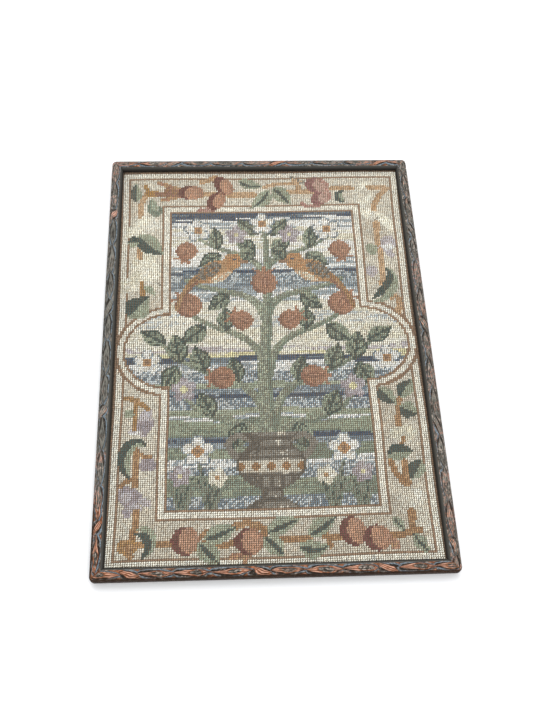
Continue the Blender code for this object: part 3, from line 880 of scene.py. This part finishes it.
def build_stitches(name, keep, tones, material):
    """Every kept stitch as its own small arch of yarn, slanting up to the right, no two quite
    alike in place, width, length, slant and height."""
    template, threes, fours = stitch_template()
    across, along, rise = template.T
    jitter = np.random.default_rng(9).standard_normal((6, *keep.shape)).clip(-2, 2)
    centre_x, centre_y = stitch_places()
    each = (
        centre_x + 0.05 * STITCH * jitter[4],
        centre_y + 0.03 * STITCH * jitter[5],
        STITCH * STITCH_WIDTH * (1 + 0.08 * jitter[0]),
        STITCH * STITCH_LENGTH * (1 + 0.05 * jitter[1]),
        STITCH_SLANT + 0.14 * jitter[2],
        YARN_HEIGHT * (1 + 0.10 * jitter[3]),
    )
    middle_x, middle_y, width, length, slant, height = [values[keep][:, None] for values in each]
    x = middle_x + across * width + along * length * slant
    y = middle_y + along * length
    z = CLOTH_LOW.z + CANVAS_THICKNESS + cloth_lift(middle_x, middle_y) + rise * height
    points = np.stack([x, y, z], -1).reshape(-1, 3)
    offsets = (np.arange(len(middle_x)) * len(template))[:, None, None]
    faces = [(threes + offsets).reshape(-1, 3), (fours + offsets).reshape(-1, 4)]
    item = mesh_object(name, points, faces)
    # Painted shade down each stitch's sides into the gaps, and a slight painted highlight on its crest.
    painted_shade_and_highlight = np.interp(rise, [-0.12, 0.6, 1.0], [0.72, 0.95, 1.04])
    colours = tones[keep][:, None, :] * painted_shade_and_highlight[None, :, None]
    add_colours(item, "yarn", colours.reshape(-1, 3))
    add_stitch_maps(item, keep, across, along)
    item.data.materials.append(material)
    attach(item, "root")
    return item


def build_canvas(material):
    """The canvas: a closed thin slab on a grid, with the cloth's low crown. Its two sides are woven
    alike and share one place in the map."""
    across = np.linspace(CLOTH_LOW.x, CLOTH_HIGH.x, CANVAS_GRID[0])
    along = np.linspace(CLOTH_LOW.y, CLOTH_HIGH.y, CANVAS_GRID[1])
    x, y = np.meshgrid(across, along)
    back = CLOTH_LOW.z + cloth_lift(x, y)
    layers = [np.stack([x, y, back + CANVAS_THICKNESS], -1), np.stack([x, y, back], -1)]
    points = np.concatenate([layer.reshape(-1, 3) for layer in layers])
    number = np.arange(x.size).reshape(x.shape)
    top = np.stack([number[:-1, :-1], number[:-1, 1:], number[1:, 1:], number[1:, :-1]], -1)
    top = top.reshape(-1, 4)
    rim = np.concatenate([number[0, :-1], number[:-1, -1], number[-1, :0:-1], number[:0:-1, 0]])
    after = np.roll(rim, -1)
    side = np.stack([after, rim, rim + x.size, after + x.size], -1)
    item = mesh_object("canvas", points, [top, top[:, ::-1] + x.size, side], smooth=False)
    share = (points[:, :2] - points[:, :2].min(0)) / np.ptp(points[:, :2], axis=0)
    add_map(item, "OFBake", share * [1, 0.495] + [0, 0.5])
    item.data.materials.append(material)
    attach(item, "root")
    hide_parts("needlework")
    return item


def rib_line(u):
    """Half-distance of the two ribs along a cell: a lens that closes at both of its ends."""
    return 0.9 * np.sqrt(np.clip(np.sin(math.pi * np.clip(u, 0, 1) ** 0.7), 0, 1))


def cell_chances(number):
    """Five numbers from -1 to 1 that all points of one cell of the carving share."""
    table = np.random.default_rng(19).uniform(-1, 1, (CHANCE_ROWS, 5))
    return np.moveaxis(table[np.mod(number, CHANCE_ROWS)], -1, 0)


def leaf_form(u, v, chances):
    """A husk leaf: ridges that fan from a slender stalk round a deep hollow and end in a thick cup.

    Gives its height, how much of it is bare copper, the way in from its edge and its ridges.
    """
    wide, hollow_at, lean = chances[:3]
    v = v - 0.08 * lean * np.sin(math.pi * u)
    half = (0.10 + 0.58 * np.clip(np.sin(math.pi * u ** 1.25), 0, 1)) * (1 + 0.14 * wide)
    share = np.clip(1 - (v / half) ** 2, 0, 1)
    hollow = np.exp(-((u - 0.57 - 0.06 * hollow_at) / 0.19) ** 2 - (v / (0.7 * half)) ** 2)
    stalk = np.exp(-(v / (0.4 * half)) ** 2) * (1 - smoothstep(0.25, 0.45, u))
    cup = np.exp(-((u - 0.86) / 0.075) ** 2) * share
    height = 0.5 * np.sqrt(share) + 0.16 * stalk + 0.2 * cup - 0.8 * hollow
    bare = smoothstep(0.0, 0.3, share) * (1 - 0.92 * smoothstep(0.12, 0.5, hollow))
    return height * MM, bare, half - abs(v), 0.5 + 0.5 * np.cos(RIDGE_SWING * v / half)


def ribbon_form(u, v):
    """The crossed ribbon: a wide slanting band with creases along it, narrower at its ends."""
    off_line = v - 1.5 * (u - 0.5)
    half = 0.62 * (1 - 0.5 * (2 * u - 1) ** 2)
    share = np.clip(1 - (off_line / half) ** 2, 0, 1)
    ridges = 0.5 + 0.5 * np.cos(RIDGE_SWING * off_line / half)
    return 0.55 * np.sqrt(share) * MM, smoothstep(0.0, 0.25, share), half - abs(off_line), ridges


def carving_cells(run, first_cell):
    """The cells along a run that starts at a ribbon's middle: which are ribbons, the place along
    each cell from 0 to 1, its length and its chances."""
    turns = np.floor((run + KNOT_LENGTH / 2) / RUN_LENGTH)
    place = run + KNOT_LENGTH / 2 - turns * RUN_LENGTH
    knot = place < KNOT_LENGTH
    leaf = np.floor((place - KNOT_LENGTH) / LEAF_LENGTH)
    length = np.where(knot, KNOT_LENGTH, LEAF_LENGTH)
    u = np.clip(np.where(knot, place, place - KNOT_LENGTH - leaf * LEAF_LENGTH) / length, 0, 1)
    cell = first_cell + turns * (LEAVES_IN_A_RUN + 1) + leaf + 1
    return knot, u, length, cell_chances(cell.astype(int))


def painted_rib(u, v, to_joint, bare, chances, drift):
    """The ribs' distance from the middle, half their thickness, and how strongly they show: most
    by the joints of the cells, less over bare leaves and on the outer side."""
    line = rib_line(u) * (1 + 0.05 * chances[3] * np.sin(math.pi * u))
    near_joint = np.exp(-to_joint / (6 * MM))
    thick = (0.105 + 0.08 * near_joint) * (1 + 0.25 * chances[4])
    rib = np.exp(-((abs(v) - line) / thick) ** 2) * (0.62 + 0.38 * near_joint)
    rib *= np.where(bare > 0.6, 0.4, 1)
    rib *= np.where(v < 0, 1.0, 0.55) * (1.1 + 0.9 * drift)
    return line, thick, rib


def carving(run, v, first_cell):
    """The carving over its ground: run is the way along the rail from a ribbon's middle, v is
    across, -1 to 1. Gives height, bare copper, painted rib and the painted shade of its cuts."""
    noise = [value_noise(run.shape, run.shape[0] // 9, 3, first_cell + k) - 0.5 for k in range(3)]
    chip = value_noise(run.shape, run.shape[0] // 3, 9, first_cell + 3) - 0.5
    run = run + 7 * MM * noise[0] + 1.6 * MM * chip
    v = v + (0.34 * noise[1] + 0.1 * chip) * (1 - v * v)
    knot, u, length, chances = carving_cells(run, first_cell)
    forms = zip(ribbon_form(u, v), leaf_form(u, v, chances))
    height, bare, way_in, ridges = [np.where(knot, ribbon, husk) for ribbon, husk in forms]
    to_joint = np.minimum(u, 1 - u) * length
    line, thick, rib = painted_rib(u, v, to_joint, bare, chances, noise[2])
    size = abs(v)
    beside = np.exp(-((abs(size - line) - 1.5 * thick) / 0.07) ** 2)
    outline = np.exp(-(way_in / 0.085) ** 2)
    channel = smoothstep(0.02, 0.1, -way_in) * smoothstep(0.0, 0.1, line - thick - size)
    margin = smoothstep(0.06, 0.16, size - line - thick)
    grooves = 0.5 + 0.5 * np.cos(14 * v + 9 * noise[2] + 5 * chip)
    furrow = (1 - ridges) ** 2 * smoothstep(0.03, 0.12, way_in)
    tip = margin * np.clip(1.15 - to_joint / (6.5 * MM), 0, 1)
    height = np.maximum(height, 0.46 * MM * rib)
    added = 0.14 * margin * grooves + 0.24 * tip
    height += MM * (added - 0.32 * channel - 0.2 * furrow - 0.1 * outline)
    edge = smoothstep(0.0, 0.08, 1 - size)
    # More copper shows on the ridge tops than in the furrows, and this higher share also drives the
    # copper's painted highlight.
    bare = bare * (1 - 0.7 * rib) * (0.55 + 0.45 * ridges)
    bare = np.maximum(bare, 0.85 * tip * (0.4 + 0.6 * grooves))
    # Painted shade: the channels, furrows, leaf outlines and the grooves beside the ribs are darkened.
    cut = channel + 0.8 * furrow + 0.85 * outline + 0.5 * beside + 0.6 * margin * (1 - grooves)
    return height * edge, bare * edge, rib * edge, np.clip(cut * (1 + 1.4 * chip), 0, 1)


def rail_outline():
    """The rail's section from the lip's underside round to it again.

    Columns: width out, height, place across the carving or PLAIN, and how bare the wood is.
    """
    points = [(0.0, LIP_UNDERSIDE + NOSE_ROUND, PLAIN, 0), (0.0, NOSE_TOP - NOSE_ROUND, PLAIN, 0)]
    for share in np.linspace(0.1, 1, 7):
        rise = 0.62 * share + 0.38 * share ** 2.2
        points.append((SLOPE_WIDTH * share, NOSE_TOP + (SLOPE_TOP - NOSE_TOP) * rise, PLAIN, 0))
    crown = CREST_HEIGHT - (SLOPE_TOP + CARVED_OUTER_HEIGHT) / 2
    for v in np.linspace(-1, 1, 36)[1:]:
        out = SLOPE_WIDTH + CARVED_WIDTH * (v + 1) / 2
        edge = SLOPE_TOP + (CARVED_OUTER_HEIGHT - SLOPE_TOP) * (v + 1) / 2
        points.append((out, edge + crown * (1 - v * v), v, 0))
    shoulder = RAIL_WIDTH - SLOPE_WIDTH - CARVED_WIDTH
    for turn in np.radians((22.5, 45, 67.5, 90)):
        out = RAIL_WIDTH - shoulder * (1 - math.sin(turn))
        points.append((out, SIDE_TOP + (CARVED_OUTER_HEIGHT - SIDE_TOP) * math.cos(turn), PLAIN, 0))
    points.append((RAIL_WIDTH, SIDE_FOOT, PLAIN, 0))
    for share in (0.35, 0.7, 0.95):
        points.append((RAIL_WIDTH - BACK_TUCK * share ** 1.2, SIDE_FOOT * (1 - share), PLAIN, 0))
    back = (
        (RAIL_WIDTH - BACK_TUCK, 0.0), (REBATE_WIDTH + BACK_ROUND, 0.0), (REBATE_WIDTH, BACK_ROUND),
        (REBATE_WIDTH, LIP_UNDERSIDE), (NOSE_ROUND, LIP_UNDERSIDE),
    )
    points += [(out, height, PLAIN, 1) for out, height in back]
    return np.array(points)


def wear(base, x, y):
    """How far the dark paint has worn off, 0 to 1: a rail's own share, more round worn places."""
    worn = np.full(x.shape, base)
    for spot in WORN_PLACES:
        far = np.hypot(x - spot["x"] * MM, y - spot["y"] * MM) / (spot["reach"] * MM)
        worn += spot["more"] * np.exp(-far ** 2)
    return np.clip(worn, 0, 1)


def corner_places(half, out, angle):
    """Points by a mitre: the outer edge turns by angle on the corner's round, and the rest is
    drawn in to match, so that at 45 degrees every point lies on the mitre."""
    outer = np.clip((out - (RAIL_WIDTH - CORNER_ROUND)) / CORNER_ROUND, 0, 1)
    pulled = outer * CORNER_ROUND * (1 - math.sin(angle))
    pulled += (1 - outer) * CORNER_ROUND * (1 - math.tan(angle))
    along = half + out - pulled - TOUCH_GAP / math.sqrt(2)
    return along, out - outer * CORNER_ROUND * (1 - math.cos(angle))


def rail_sweep(half, out):
    """The way along the rail and the width out of each point of its sections, mitre to mitre."""
    ends = np.array([corner_places(half, out, angle) for angle in np.radians(np.linspace(0, 45, 6))])
    count = int(round(2 * half / RAIL_STEP))
    share = np.linspace(-1, 1, count)[1:-1, None]
    along = np.concatenate([-ends[::-1, 0], share * ends[0, 0], ends[:, 0]])
    width = np.concatenate([ends[::-1, 1], np.broadcast_to(out, (count - 2, len(out))), ends[:, 1]])
    return along, width


def rail_faces(sections, sides):
    """The skin between the sections, and the mitred face at each end."""
    number = np.arange(sections * sides).reshape(sections, sides)
    beside = np.roll(number, -1, axis=1)
    skin = np.stack([number[:-1], number[1:], beside[1:], beside[:-1]], -1).reshape(-1, 4)
    return [skin, number[0][None, ::-1], number[-1][None, :]]


def build_rail(rail, material):
    """A rail: its section carried from mitre to mitre, with the carving raised on its crest."""
    sight = ((SIGHT_RIGHT - SIGHT_LEFT) / 2, (SIGHT_TOP - SIGHT_BOTTOM) / 2)
    half, reach = sight if rail["turn"] in (0, 180) else sight[::-1]
    out, rise, across, bare_wood = rail_outline().T
    along, width = rail_sweep(half, out)
    carved = across != PLAIN
    run = rail["leaves_point"] * (along - rail["ribbon_at"] * MM)
    height, copper, rib, cut = carving(run, np.where(carved, across, 1.0), rail["first_cell"])
    chisel = value_noise(along.shape, len(along) // 2, len(out) // 2, rail["first_cell"]) - 0.5
    z = rise + np.where(carved & (abs(across) < 0.97), height + 0.2 * MM * chisel, 0)
    c, s = direction(rail["turn"])
    x = along * c - (width + reach) * s
    y = along * s + (width + reach) * c
    points = np.stack([x, y, z], -1).reshape(-1, 3)
    item = mesh_object(rail["node"] + "_carved", points, rail_faces(*along.shape))
    item.data.set_sharp_from_angle(angle=math.radians(50))
    mitre = np.exp(-((half + width - abs(along)) / (1.0 * MM)) ** 2)
    copper = np.maximum(copper, 0.5 * mitre)
    # The carving's masks: bare copper, painted ribs and the painted shade in its cuts.
    masks = np.where(carved[:, None], np.stack([copper, rib * rail["ribs"], cut], -1), 0)
    add_colours(item, "carving", masks.reshape(-1, 3))
    worn = np.clip(wear(rail["worn"], x, y) + 0.2 * mitre, 0, 1)
    inner = np.clip((RAIL_WIDTH - width) / RAIL_WIDTH, 0, 1)
    wood = np.stack([np.broadcast_to(bare_wood, worn.shape), inner, worn], -1)
    add_colours(item, "wood", wood.reshape(-1, 3))
    add_rail_map(item, *along.shape)
    round_section = np.cumsum(np.hypot(np.diff(out, prepend=out[0]), np.diff(rise, prepend=rise[0])))
    lengthwise = np.stack([along, np.broadcast_to(round_section, along.shape)], -1)
    add_map(item, "grain", lengthwise.reshape(-1, 2))
    item.data.materials.append(material)
    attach(item, "root")
    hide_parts(rail["node"])


def add_rail_map(item, sections, sides):
    """The rail's skin laid out flat in four strips, one above another, with its ends in a corner."""
    strips = 4
    per_strip = math.ceil((sections - 1) / strips)
    i, j = np.meshgrid(np.arange(sections - 1), np.arange(sides), indexing="ij")
    strip = i // per_strip
    u = np.stack([i, i + 1, i + 1, i], -1) - (strip * per_strip)[..., None]
    v = np.stack([j, j, j + 1, j + 1], -1)
    across = 0.01 + 0.98 * u / per_strip
    up = 0.98 * (strip[..., None] + 0.02 + 0.94 * v / sides) / strips
    flat = np.stack([across, up], -1)
    caps = np.zeros((2, sides, 2)) + [0.5, 0.99]
    turn = np.linspace(0, 2 * math.pi, sides)
    caps[:, :, 0] += 0.3 * np.cos(turn) * np.array([[1], [-1]])
    caps[:, :, 1] += 0.008 * np.sin(turn)
    layer = item.data.uv_layers.new(name="OFBake")
    values = np.concatenate([flat.reshape(-1, 2), caps.reshape(-1, 2)])
    layer.uv.foreach_set("vector", values.astype(np.float32).ravel())


class Nodes:
    """Adds nodes to one material and links them. A value may be a number or another's output."""

    def __init__(self, name):
        self.material = bpy.data.materials.new(name)
        self.material.use_nodes = True
        self.tree = self.material.node_tree
        self.shader = self.tree.nodes["Principled BSDF"]

    def add(self, kind, links=None, **settings):
        node = self.tree.nodes.new(kind)
        for key, value in settings.items():
            setattr(node, key, value)
        for socket, value in (links or {}).items():
            self.put(node.inputs[socket], value)
        return node

    def put(self, socket, value):
        if isinstance(value, bpy.types.NodeSocket):
            self.tree.links.new(value, socket)
        else:
            socket.default_value = value

    def math(self, operation, *values):
        return self.add("ShaderNodeMath", dict(enumerate(values)), operation=operation).outputs[0]

    def plus(self, first, second):
        return self.math("ADD", first, second)

    def minus(self, first, second):
        return self.math("SUBTRACT", first, second)

    def times(self, first, second):
        return self.math("MULTIPLY", first, second)

    def larger(self, first, second):
        return self.math("MAXIMUM", first, second)

    def ramp(self, value, low, high, to_low=0.0, to_high=1.0):
        links = {"Value": value, "From Min": low, "From Max": high, "To Min": to_low, "To Max": to_high}
        return self.add("ShaderNodeMapRange", links, interpolation_type="SMOOTHSTEP").outputs["Result"]

    def mix(self, share, first, second, blend="MIX"):
        """Mixes two colours, through the sockets that a Mix node has for colours."""
        node = self.add("ShaderNodeMix", data_type="RGBA", blend_type=blend)
        self.put(node.inputs[0], share)
        self.put(node.inputs[6], first)
        self.put(node.inputs[7], second)
        return node.outputs[2]

    def noise(self, vector, scale, detail, roughness=0.55):
        links = {"Vector": vector, "Scale": scale, "Detail": detail, "Roughness": roughness}
        return self.add("ShaderNodeTexNoise", links).outputs["Fac"]

    def place(self):
        return self.add("ShaderNodeTexCoord").outputs["Object"]

    def uv(self, name):
        return self.add("ShaderNodeUVMap", uv_map=name).outputs["UV"]

    def stretched(self, vector, scale):
        return self.add("ShaderNodeMapping", {"Vector": vector, "Scale": scale}).outputs["Vector"]

    def attribute(self, name):
        return self.add("ShaderNodeAttribute", attribute_name=name).outputs["Color"]

    def parts(self, name):
        return self.add("ShaderNodeSeparateColor", {"Color": self.attribute(name)}).outputs[:3]

    def bump(self, height, strength, distance):
        links = {"Height": height, "Strength": strength, "Distance": distance}
        self.put(self.shader.inputs["Normal"], self.add("ShaderNodeBump", links).outputs["Normal"])

    def wave(self, vector, way, scale, distortion, detail=2.0, detail_scale=1.0):
        links = {"Vector": vector, "Scale": scale, "Distortion": distortion, "Detail": detail}
        links["Detail Scale"] = detail_scale
        return self.add("ShaderNodeTexWave", links, bands_direction=way).outputs["Fac"]

    def finished(self, values):
        """Sets the shader's inputs and gives the material."""
        for name, value in values.items():
            self.put(self.shader.inputs[name], value)
        return self.material


def colour(name):
    """A named colour as linear light, with an alpha of one."""
    return (*linear(COLOURS[name]), 1.0)


def wool_material():
    """Wool: each stitch's own colour, with twisted plies and fine fibres along the stitch."""
    made = Nodes("Wool stitches")
    twist = made.stretched(made.uv("stitch"), (1.0, 0.55, 1.0))
    plies = made.wave(twist, "DIAGONAL", 1.3, 1.4, detail_scale=3.0)
    fibres = made.noise(made.stretched(made.place(), (5200.0, 1700.0, 2500.0)), 1.0, 2.0)
    patches = made.noise(made.place(), 45.0, 3.0)
    shade = made.math("MULTIPLY_ADD", fibres, 0.34, 0.82)
    grey = made.add("ShaderNodeCombineColor", {0: shade, 1: shade, 2: shade}).outputs[0]
    toned = made.mix(1.0, made.attribute("yarn"), grey, "MULTIPLY")
    made.bump(made.plus(made.times(plies, 0.6), fibres), 0.55, 0.0003)
    return made.finished({
        "Base Color": made.mix(made.ramp(patches, 0.45, 0.75, 0.0, 0.10), toned, colour("dust")),
        "Roughness": made.ramp(fibres, 0.2, 0.8, 0.82, 0.98),
        "Sheen Weight": 0.12,
        "Sheen Roughness": 0.5,
    })


def canvas_material():
    """Canvas: a close tan weave, seen between the stitches and at the back, darker to the bottom."""
    made = Nodes("Canvas weave")
    place = made.place()
    across, along = [made.wave(place, way, 1 / STITCH / 2, 0.3) for way in ("X", "Y")]
    weave = made.larger(across, along)
    up = made.add("ShaderNodeSeparateXYZ", {"Vector": place}).outputs["Y"]
    height = made.ramp(up, -0.05, 0.22)
    gaps = made.mix(height, colour("lower gaps"), colour("upper gaps"))
    threads = made.mix(height, colour("lower threads"), colour("upper threads"))
    made.bump(weave, 0.6, 0.0004)
    return made.finished({
        "Base Color": made.mix(weave, gaps, threads),
        "Roughness": made.ramp(weave, 0.0, 1.0, 0.98, 0.85),
    })


def paint_inputs(made):
    """What the layers of the paint share, by name: the masks that the carving and the wood carry,
    and noises, some of them drawn out along the grain."""
    place, grain_map = made.place(), made.uv("grain")
    copper, rib, cut = made.parts("carving")
    bare_wood, inner, worn = made.parts("wood")

    def drawn_out(scale, detail, roughness):
        return made.noise(made.stretched(grain_map, scale), 1.0, detail, roughness)

    return SimpleNamespace(
        place=place, copper=copper, rib=rib, cut=cut, bare_wood=bare_wood, inner=inner, worn=worn,
        coarse=made.noise(place, 190.0, 4.0, 0.62),
        fine=made.noise(place, 950.0, 3.0, 0.6),
        blotch=made.noise(place, 48.0, 3.0),
        scratches=drawn_out((170.0, 1500.0, 1.0), 3.0, 0.6),
        flakes=drawn_out((330.0, 800.0, 1.0), 4.0, 0.7),
        chips=drawn_out((270.0, 540.0, 3.0), 4.0, 0.72),
        streaks=drawn_out((230.0, 850.0, 1.0), 4.0, 0.65),
        grain=drawn_out((40.0, 900.0, 1.0), 4.0, 0.55),
    )


def paint_layer(made, on):
    """The paint: dark, paler in random scuffs and, as a painted highlight, where it is raised,
    browner where it has worn, then its chips, its scratches and the slate ribs."""
    rough = made.times(made.plus(on.flakes, on.blotch), 0.5)
    # Painted highlight: the raised carving is made paler, mixed with random scuffs.
    raised = made.math("MULTIPLY_ADD", on.copper, 0.26, rough)
    paint = made.mix(made.ramp(raised, 0.4, 0.78), colour("dark paint"), colour("scuffed paint and painted highlight"))
    on_leaf = made.times(made.ramp(on.copper, 0.02, 0.08), 0.6)
    brown = made.larger(made.minus(made.ramp(on.worn, 0.15, 0.8, 0.0, 0.85), on_leaf), 0.0)
    paint = made.mix(brown, paint, colour("brown paint"))
    chip = made.mix(made.ramp(on.coarse, 0.44, 0.56), colour("dark chip"), colour("pale chip"))
    rosy = made.mix(made.ramp(on.fine, 0.4, 0.6), colour("red chip"), colour("rosy chip"))
    chip = made.mix(made.ramp(on.blotch, 0.46, 0.6, 0.0, 0.8), chip, rosy)
    chipped = made.times(made.ramp(on.chips, 0.49, 0.56), made.ramp(on.worn, 0.08, 0.36, 0.18, 1.0))
    paint = made.mix(chipped, paint, chip)
    paint = made.mix(made.ramp(on.scratches, 0.53, 0.63, 0.0, 0.8), paint, colour("scratch"))
    slate = made.mix(made.ramp(on.fine, 0.35, 0.65), colour("deep slate"), colour("slate"))
    ribbed = made.ramp(made.times(on.rib, made.ramp(on.coarse, 0.3, 0.6, 0.5, 1.25)), 0.24, 0.56)
    return made.mix(ribbed, paint, slate)


def copper_layer(made, on):
    """Copper bronze, dull in patches, bleached by the upper left corner, and bright on its tops, a
    painted highlight, and along its scratches.
    """
    copper = made.mix(made.ramp(on.flakes, 0.38, 0.6), colour("deep copper"), colour("copper"))
    copper = made.mix(made.ramp(on.blotch, 0.42, 0.62, 0.0, 0.6), copper, colour("dull copper"))
    x, y = made.add("ShaderNodeSeparateXYZ", {"Vector": on.place}).outputs[:2]
    bleached = made.times(made.ramp(y, 0.13, 0.19, 0.0, 0.75), made.ramp(x, -0.158, -0.15, 1.0, 0.0))
    pale = made.mix(on.fine, colour("bleached copper"), colour("palest copper"))
    copper = made.mix(bleached, copper, pale)
    # Painted highlight: the ridge tops of the bare copper are made bright, and so are its scratches.
    bright = made.plus(on.copper, made.times(on.scratches, 0.9))
    return made.mix(made.ramp(bright, 1.16, 1.4, 0.0, 0.9), copper, colour("bright copper"))


def copper_shows(made, on):
    """Where the paint has gone from the copper, 0 to 1: further over raised and worn wood."""
    spread = made.times(made.minus(on.streaks, 0.5), 3.4)
    limit = made.ramp(on.worn, 0.0, 1.0, 1.6, -0.1)
    rubbed = made.plus(made.times(on.copper, 0.9), spread)
    rubbed = made.ramp(rubbed, limit, made.plus(limit, 0.25))
    return made.times(rubbed, made.ramp(on.copper, 0.08, 0.3))


def paint_material():
    """Worn dark paint over copper bronze. The copper shows on the raised leaves where the paint has
    gone, the inner slope darkens to its nose in painted shade, the outer side is brown, and the
    back is bare wood."""
    made = Nodes("Painted carved wood")
    on = paint_inputs(made)
    shows = copper_shows(made, on)
    skin = made.mix(shows, paint_layer(made, on), copper_layer(made, on))
    # Painted shade: the carving's cuts, furrows and outlines darken to near black, a little more where the
    # paint is more worn.
    deep = made.times(on.cut, made.ramp(on.worn, 0.0, 0.7, 0.78, 0.92))
    skin = made.mix(deep, skin, colour("cut"))
    # Painted shade: the inner slope goes from its paint near the crest to near black at its nose.
    slope = made.mix(made.ramp(on.inner, 0.79, 0.97), colour("slope"), colour("nose"))
    skin = made.mix(made.ramp(on.inner, 0.765, 0.785), skin, slope)
    side = made.mix(made.ramp(on.flakes, 0.4, 0.7), colour("deep side"), colour("side"))
    worn_edge = made.times(made.ramp(on.inner, 0.1, 0.2, 0.9, 0.0), made.ramp(on.worn, 0.4, 0.8))
    skin = made.mix(made.larger(made.ramp(on.inner, 0.0, 0.035, 0.95, 0.0), worn_edge), skin, side)
    raw = made.mix(made.ramp(on.grain, 0.3, 0.7), colour("raw wood"), colour("pale raw wood"))
    gloss = made.ramp(on.coarse, 0.2, 0.8, 0.52, 0.72)
    made.bump(made.plus(on.coarse, made.times(on.scratches, 0.6)), 0.5, 0.0003)
    return made.finished({
        "Base Color": made.mix(on.bare_wood, skin, raw),
        "Metallic": made.times(shows, 0.15),
        "Roughness": made.larger(gloss, made.times(on.bare_wood, 0.85)),
        "Specular IOR Level": 0.12,
    })


def board_material():
    """The back board: thin plain wood, its grain running up the board."""
    made = Nodes("Board")
    place = made.place()
    grain = made.noise(made.stretched(place, (220.0, 9.0, 220.0)), 1.0, 5.0, 0.6)
    rings = made.wave(made.stretched(place, (1.0, 0.08, 1.0)), "X", 14.0, 5.0, detail=3.0)
    figure = made.plus(made.times(grain, 0.6), made.times(rings, 0.4))
    tone = made.mix(made.ramp(figure, 0.3, 0.75), colour("board"), colour("pale board"))
    stained = made.ramp(made.noise(place, 14.0, 4.0), 0.5, 0.8, 0.0, 0.4)
    made.bump(figure, 0.3, 0.0003)
    return made.finished({
        "Base Color": made.mix(stained, tone, colour("stain")),
        "Roughness": made.ramp(grain, 0.2, 0.8, 0.7, 0.9),
    })


def floor_material():
    """A matt, pale floor."""
    return Nodes("Pale floor").finished({"Base Color": (0.96, 0.96, 0.96, 1.0), "Roughness": 0.9})


def build_floor():
    """A pale floor just under the frame's back."""
    corners = np.array([(-1, -1, 0), (1, -1, 0), (1, 1, 0), (-1, 1, 0)]) * FLOOR_HALF
    floor = mesh_object("floor", corners - [0, 0, FLOOR_DROP], [np.array([[0, 1, 2, 3]])], smooth=False)
    floor.data.materials.append(floor_material())


def build_light(name, place, power):
    """A soft square light that faces the middle of the frame."""
    data = bpy.data.lights.new(name, "AREA")
    data.shape = "SQUARE"
    data.size = LIGHT_SIZE
    data.energy = power
    light = bpy.data.objects.new(name, data)
    light.location = place
    light.rotation_euler = (-Vector(place)).to_track_quat("-Z", "Y").to_euler()
    bpy.context.scene.collection.objects.link(light)


def build_lights():
    """Soft daylight from the far side, a weaker fill, and colours shown as they are given."""
    for light in LIGHTS:
        build_light(**light)
    world = bpy.data.worlds.new("Room")
    world.use_nodes = True
    sky = world.node_tree.nodes["Background"]
    sky.inputs["Color"].default_value = (0.96, 0.98, 1.0, 1.0)
    sky.inputs["Strength"].default_value = 0.84
    bpy.context.scene.world = world
    bpy.context.scene.view_settings.view_transform = "Standard"


def build_camera():
    """The camera of the photograph, tilted about its own view."""
    data = bpy.data.cameras.new("Camera")
    data.lens = CAMERA_LENS
    data.sensor_width = 36
    data.clip_end = 20
    camera = bpy.data.objects.new("Camera", data)
    way = Vector(CAMERA_TARGET) - Vector(CAMERA_PLACE)
    tilt = Matrix.Rotation(math.radians(-CAMERA_ROLL), 3, "Z")
    camera.rotation_euler = (way.to_track_quat("-Z", "Y").to_matrix() @ tilt).to_euler()
    camera.location = CAMERA_PLACE
    bpy.context.scene.collection.objects.link(camera)
    bpy.context.scene.camera = camera


def build_needlework():
    """The canvas and its stitches, in pieces: the plain bands and border, and the picture."""
    wool = wool_material()
    chart, inset, depth = stitch_chart()
    tones = yarn_tones(chart, inset)
    kept = inset > -WORKED_UNDER_LIP
    inner = depth > -BANDS[-1]["to"]
    parts = {
        "stitches_border_upper": ~inner & (Y > 0),
        "stitches_border_lower": ~inner & (Y < 0),
        "stitches_picture_upper": inner & (Y > PIECE_EDGE),
        "stitches_picture_middle": inner & (abs(Y) <= PIECE_EDGE),
        "stitches_picture_lower": inner & (Y < -PIECE_EDGE),
    }
    pieces = [build_stitches(name, kept & part, tones, wool) for name, part in parts.items()]
    canvas = build_canvas(canvas_material())


def build_frame():
    """The carved rails, and the look of the plain board that the frame brings."""
    paint = paint_material()
    for rail in RAILS:
        build_rail(rail, paint)
    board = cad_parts["back_board"]
    board.data.materials.clear()
    board.data.materials.append(board_material())


build_camera()
build_lights()
build_floor()
build_frame()
build_needlework()
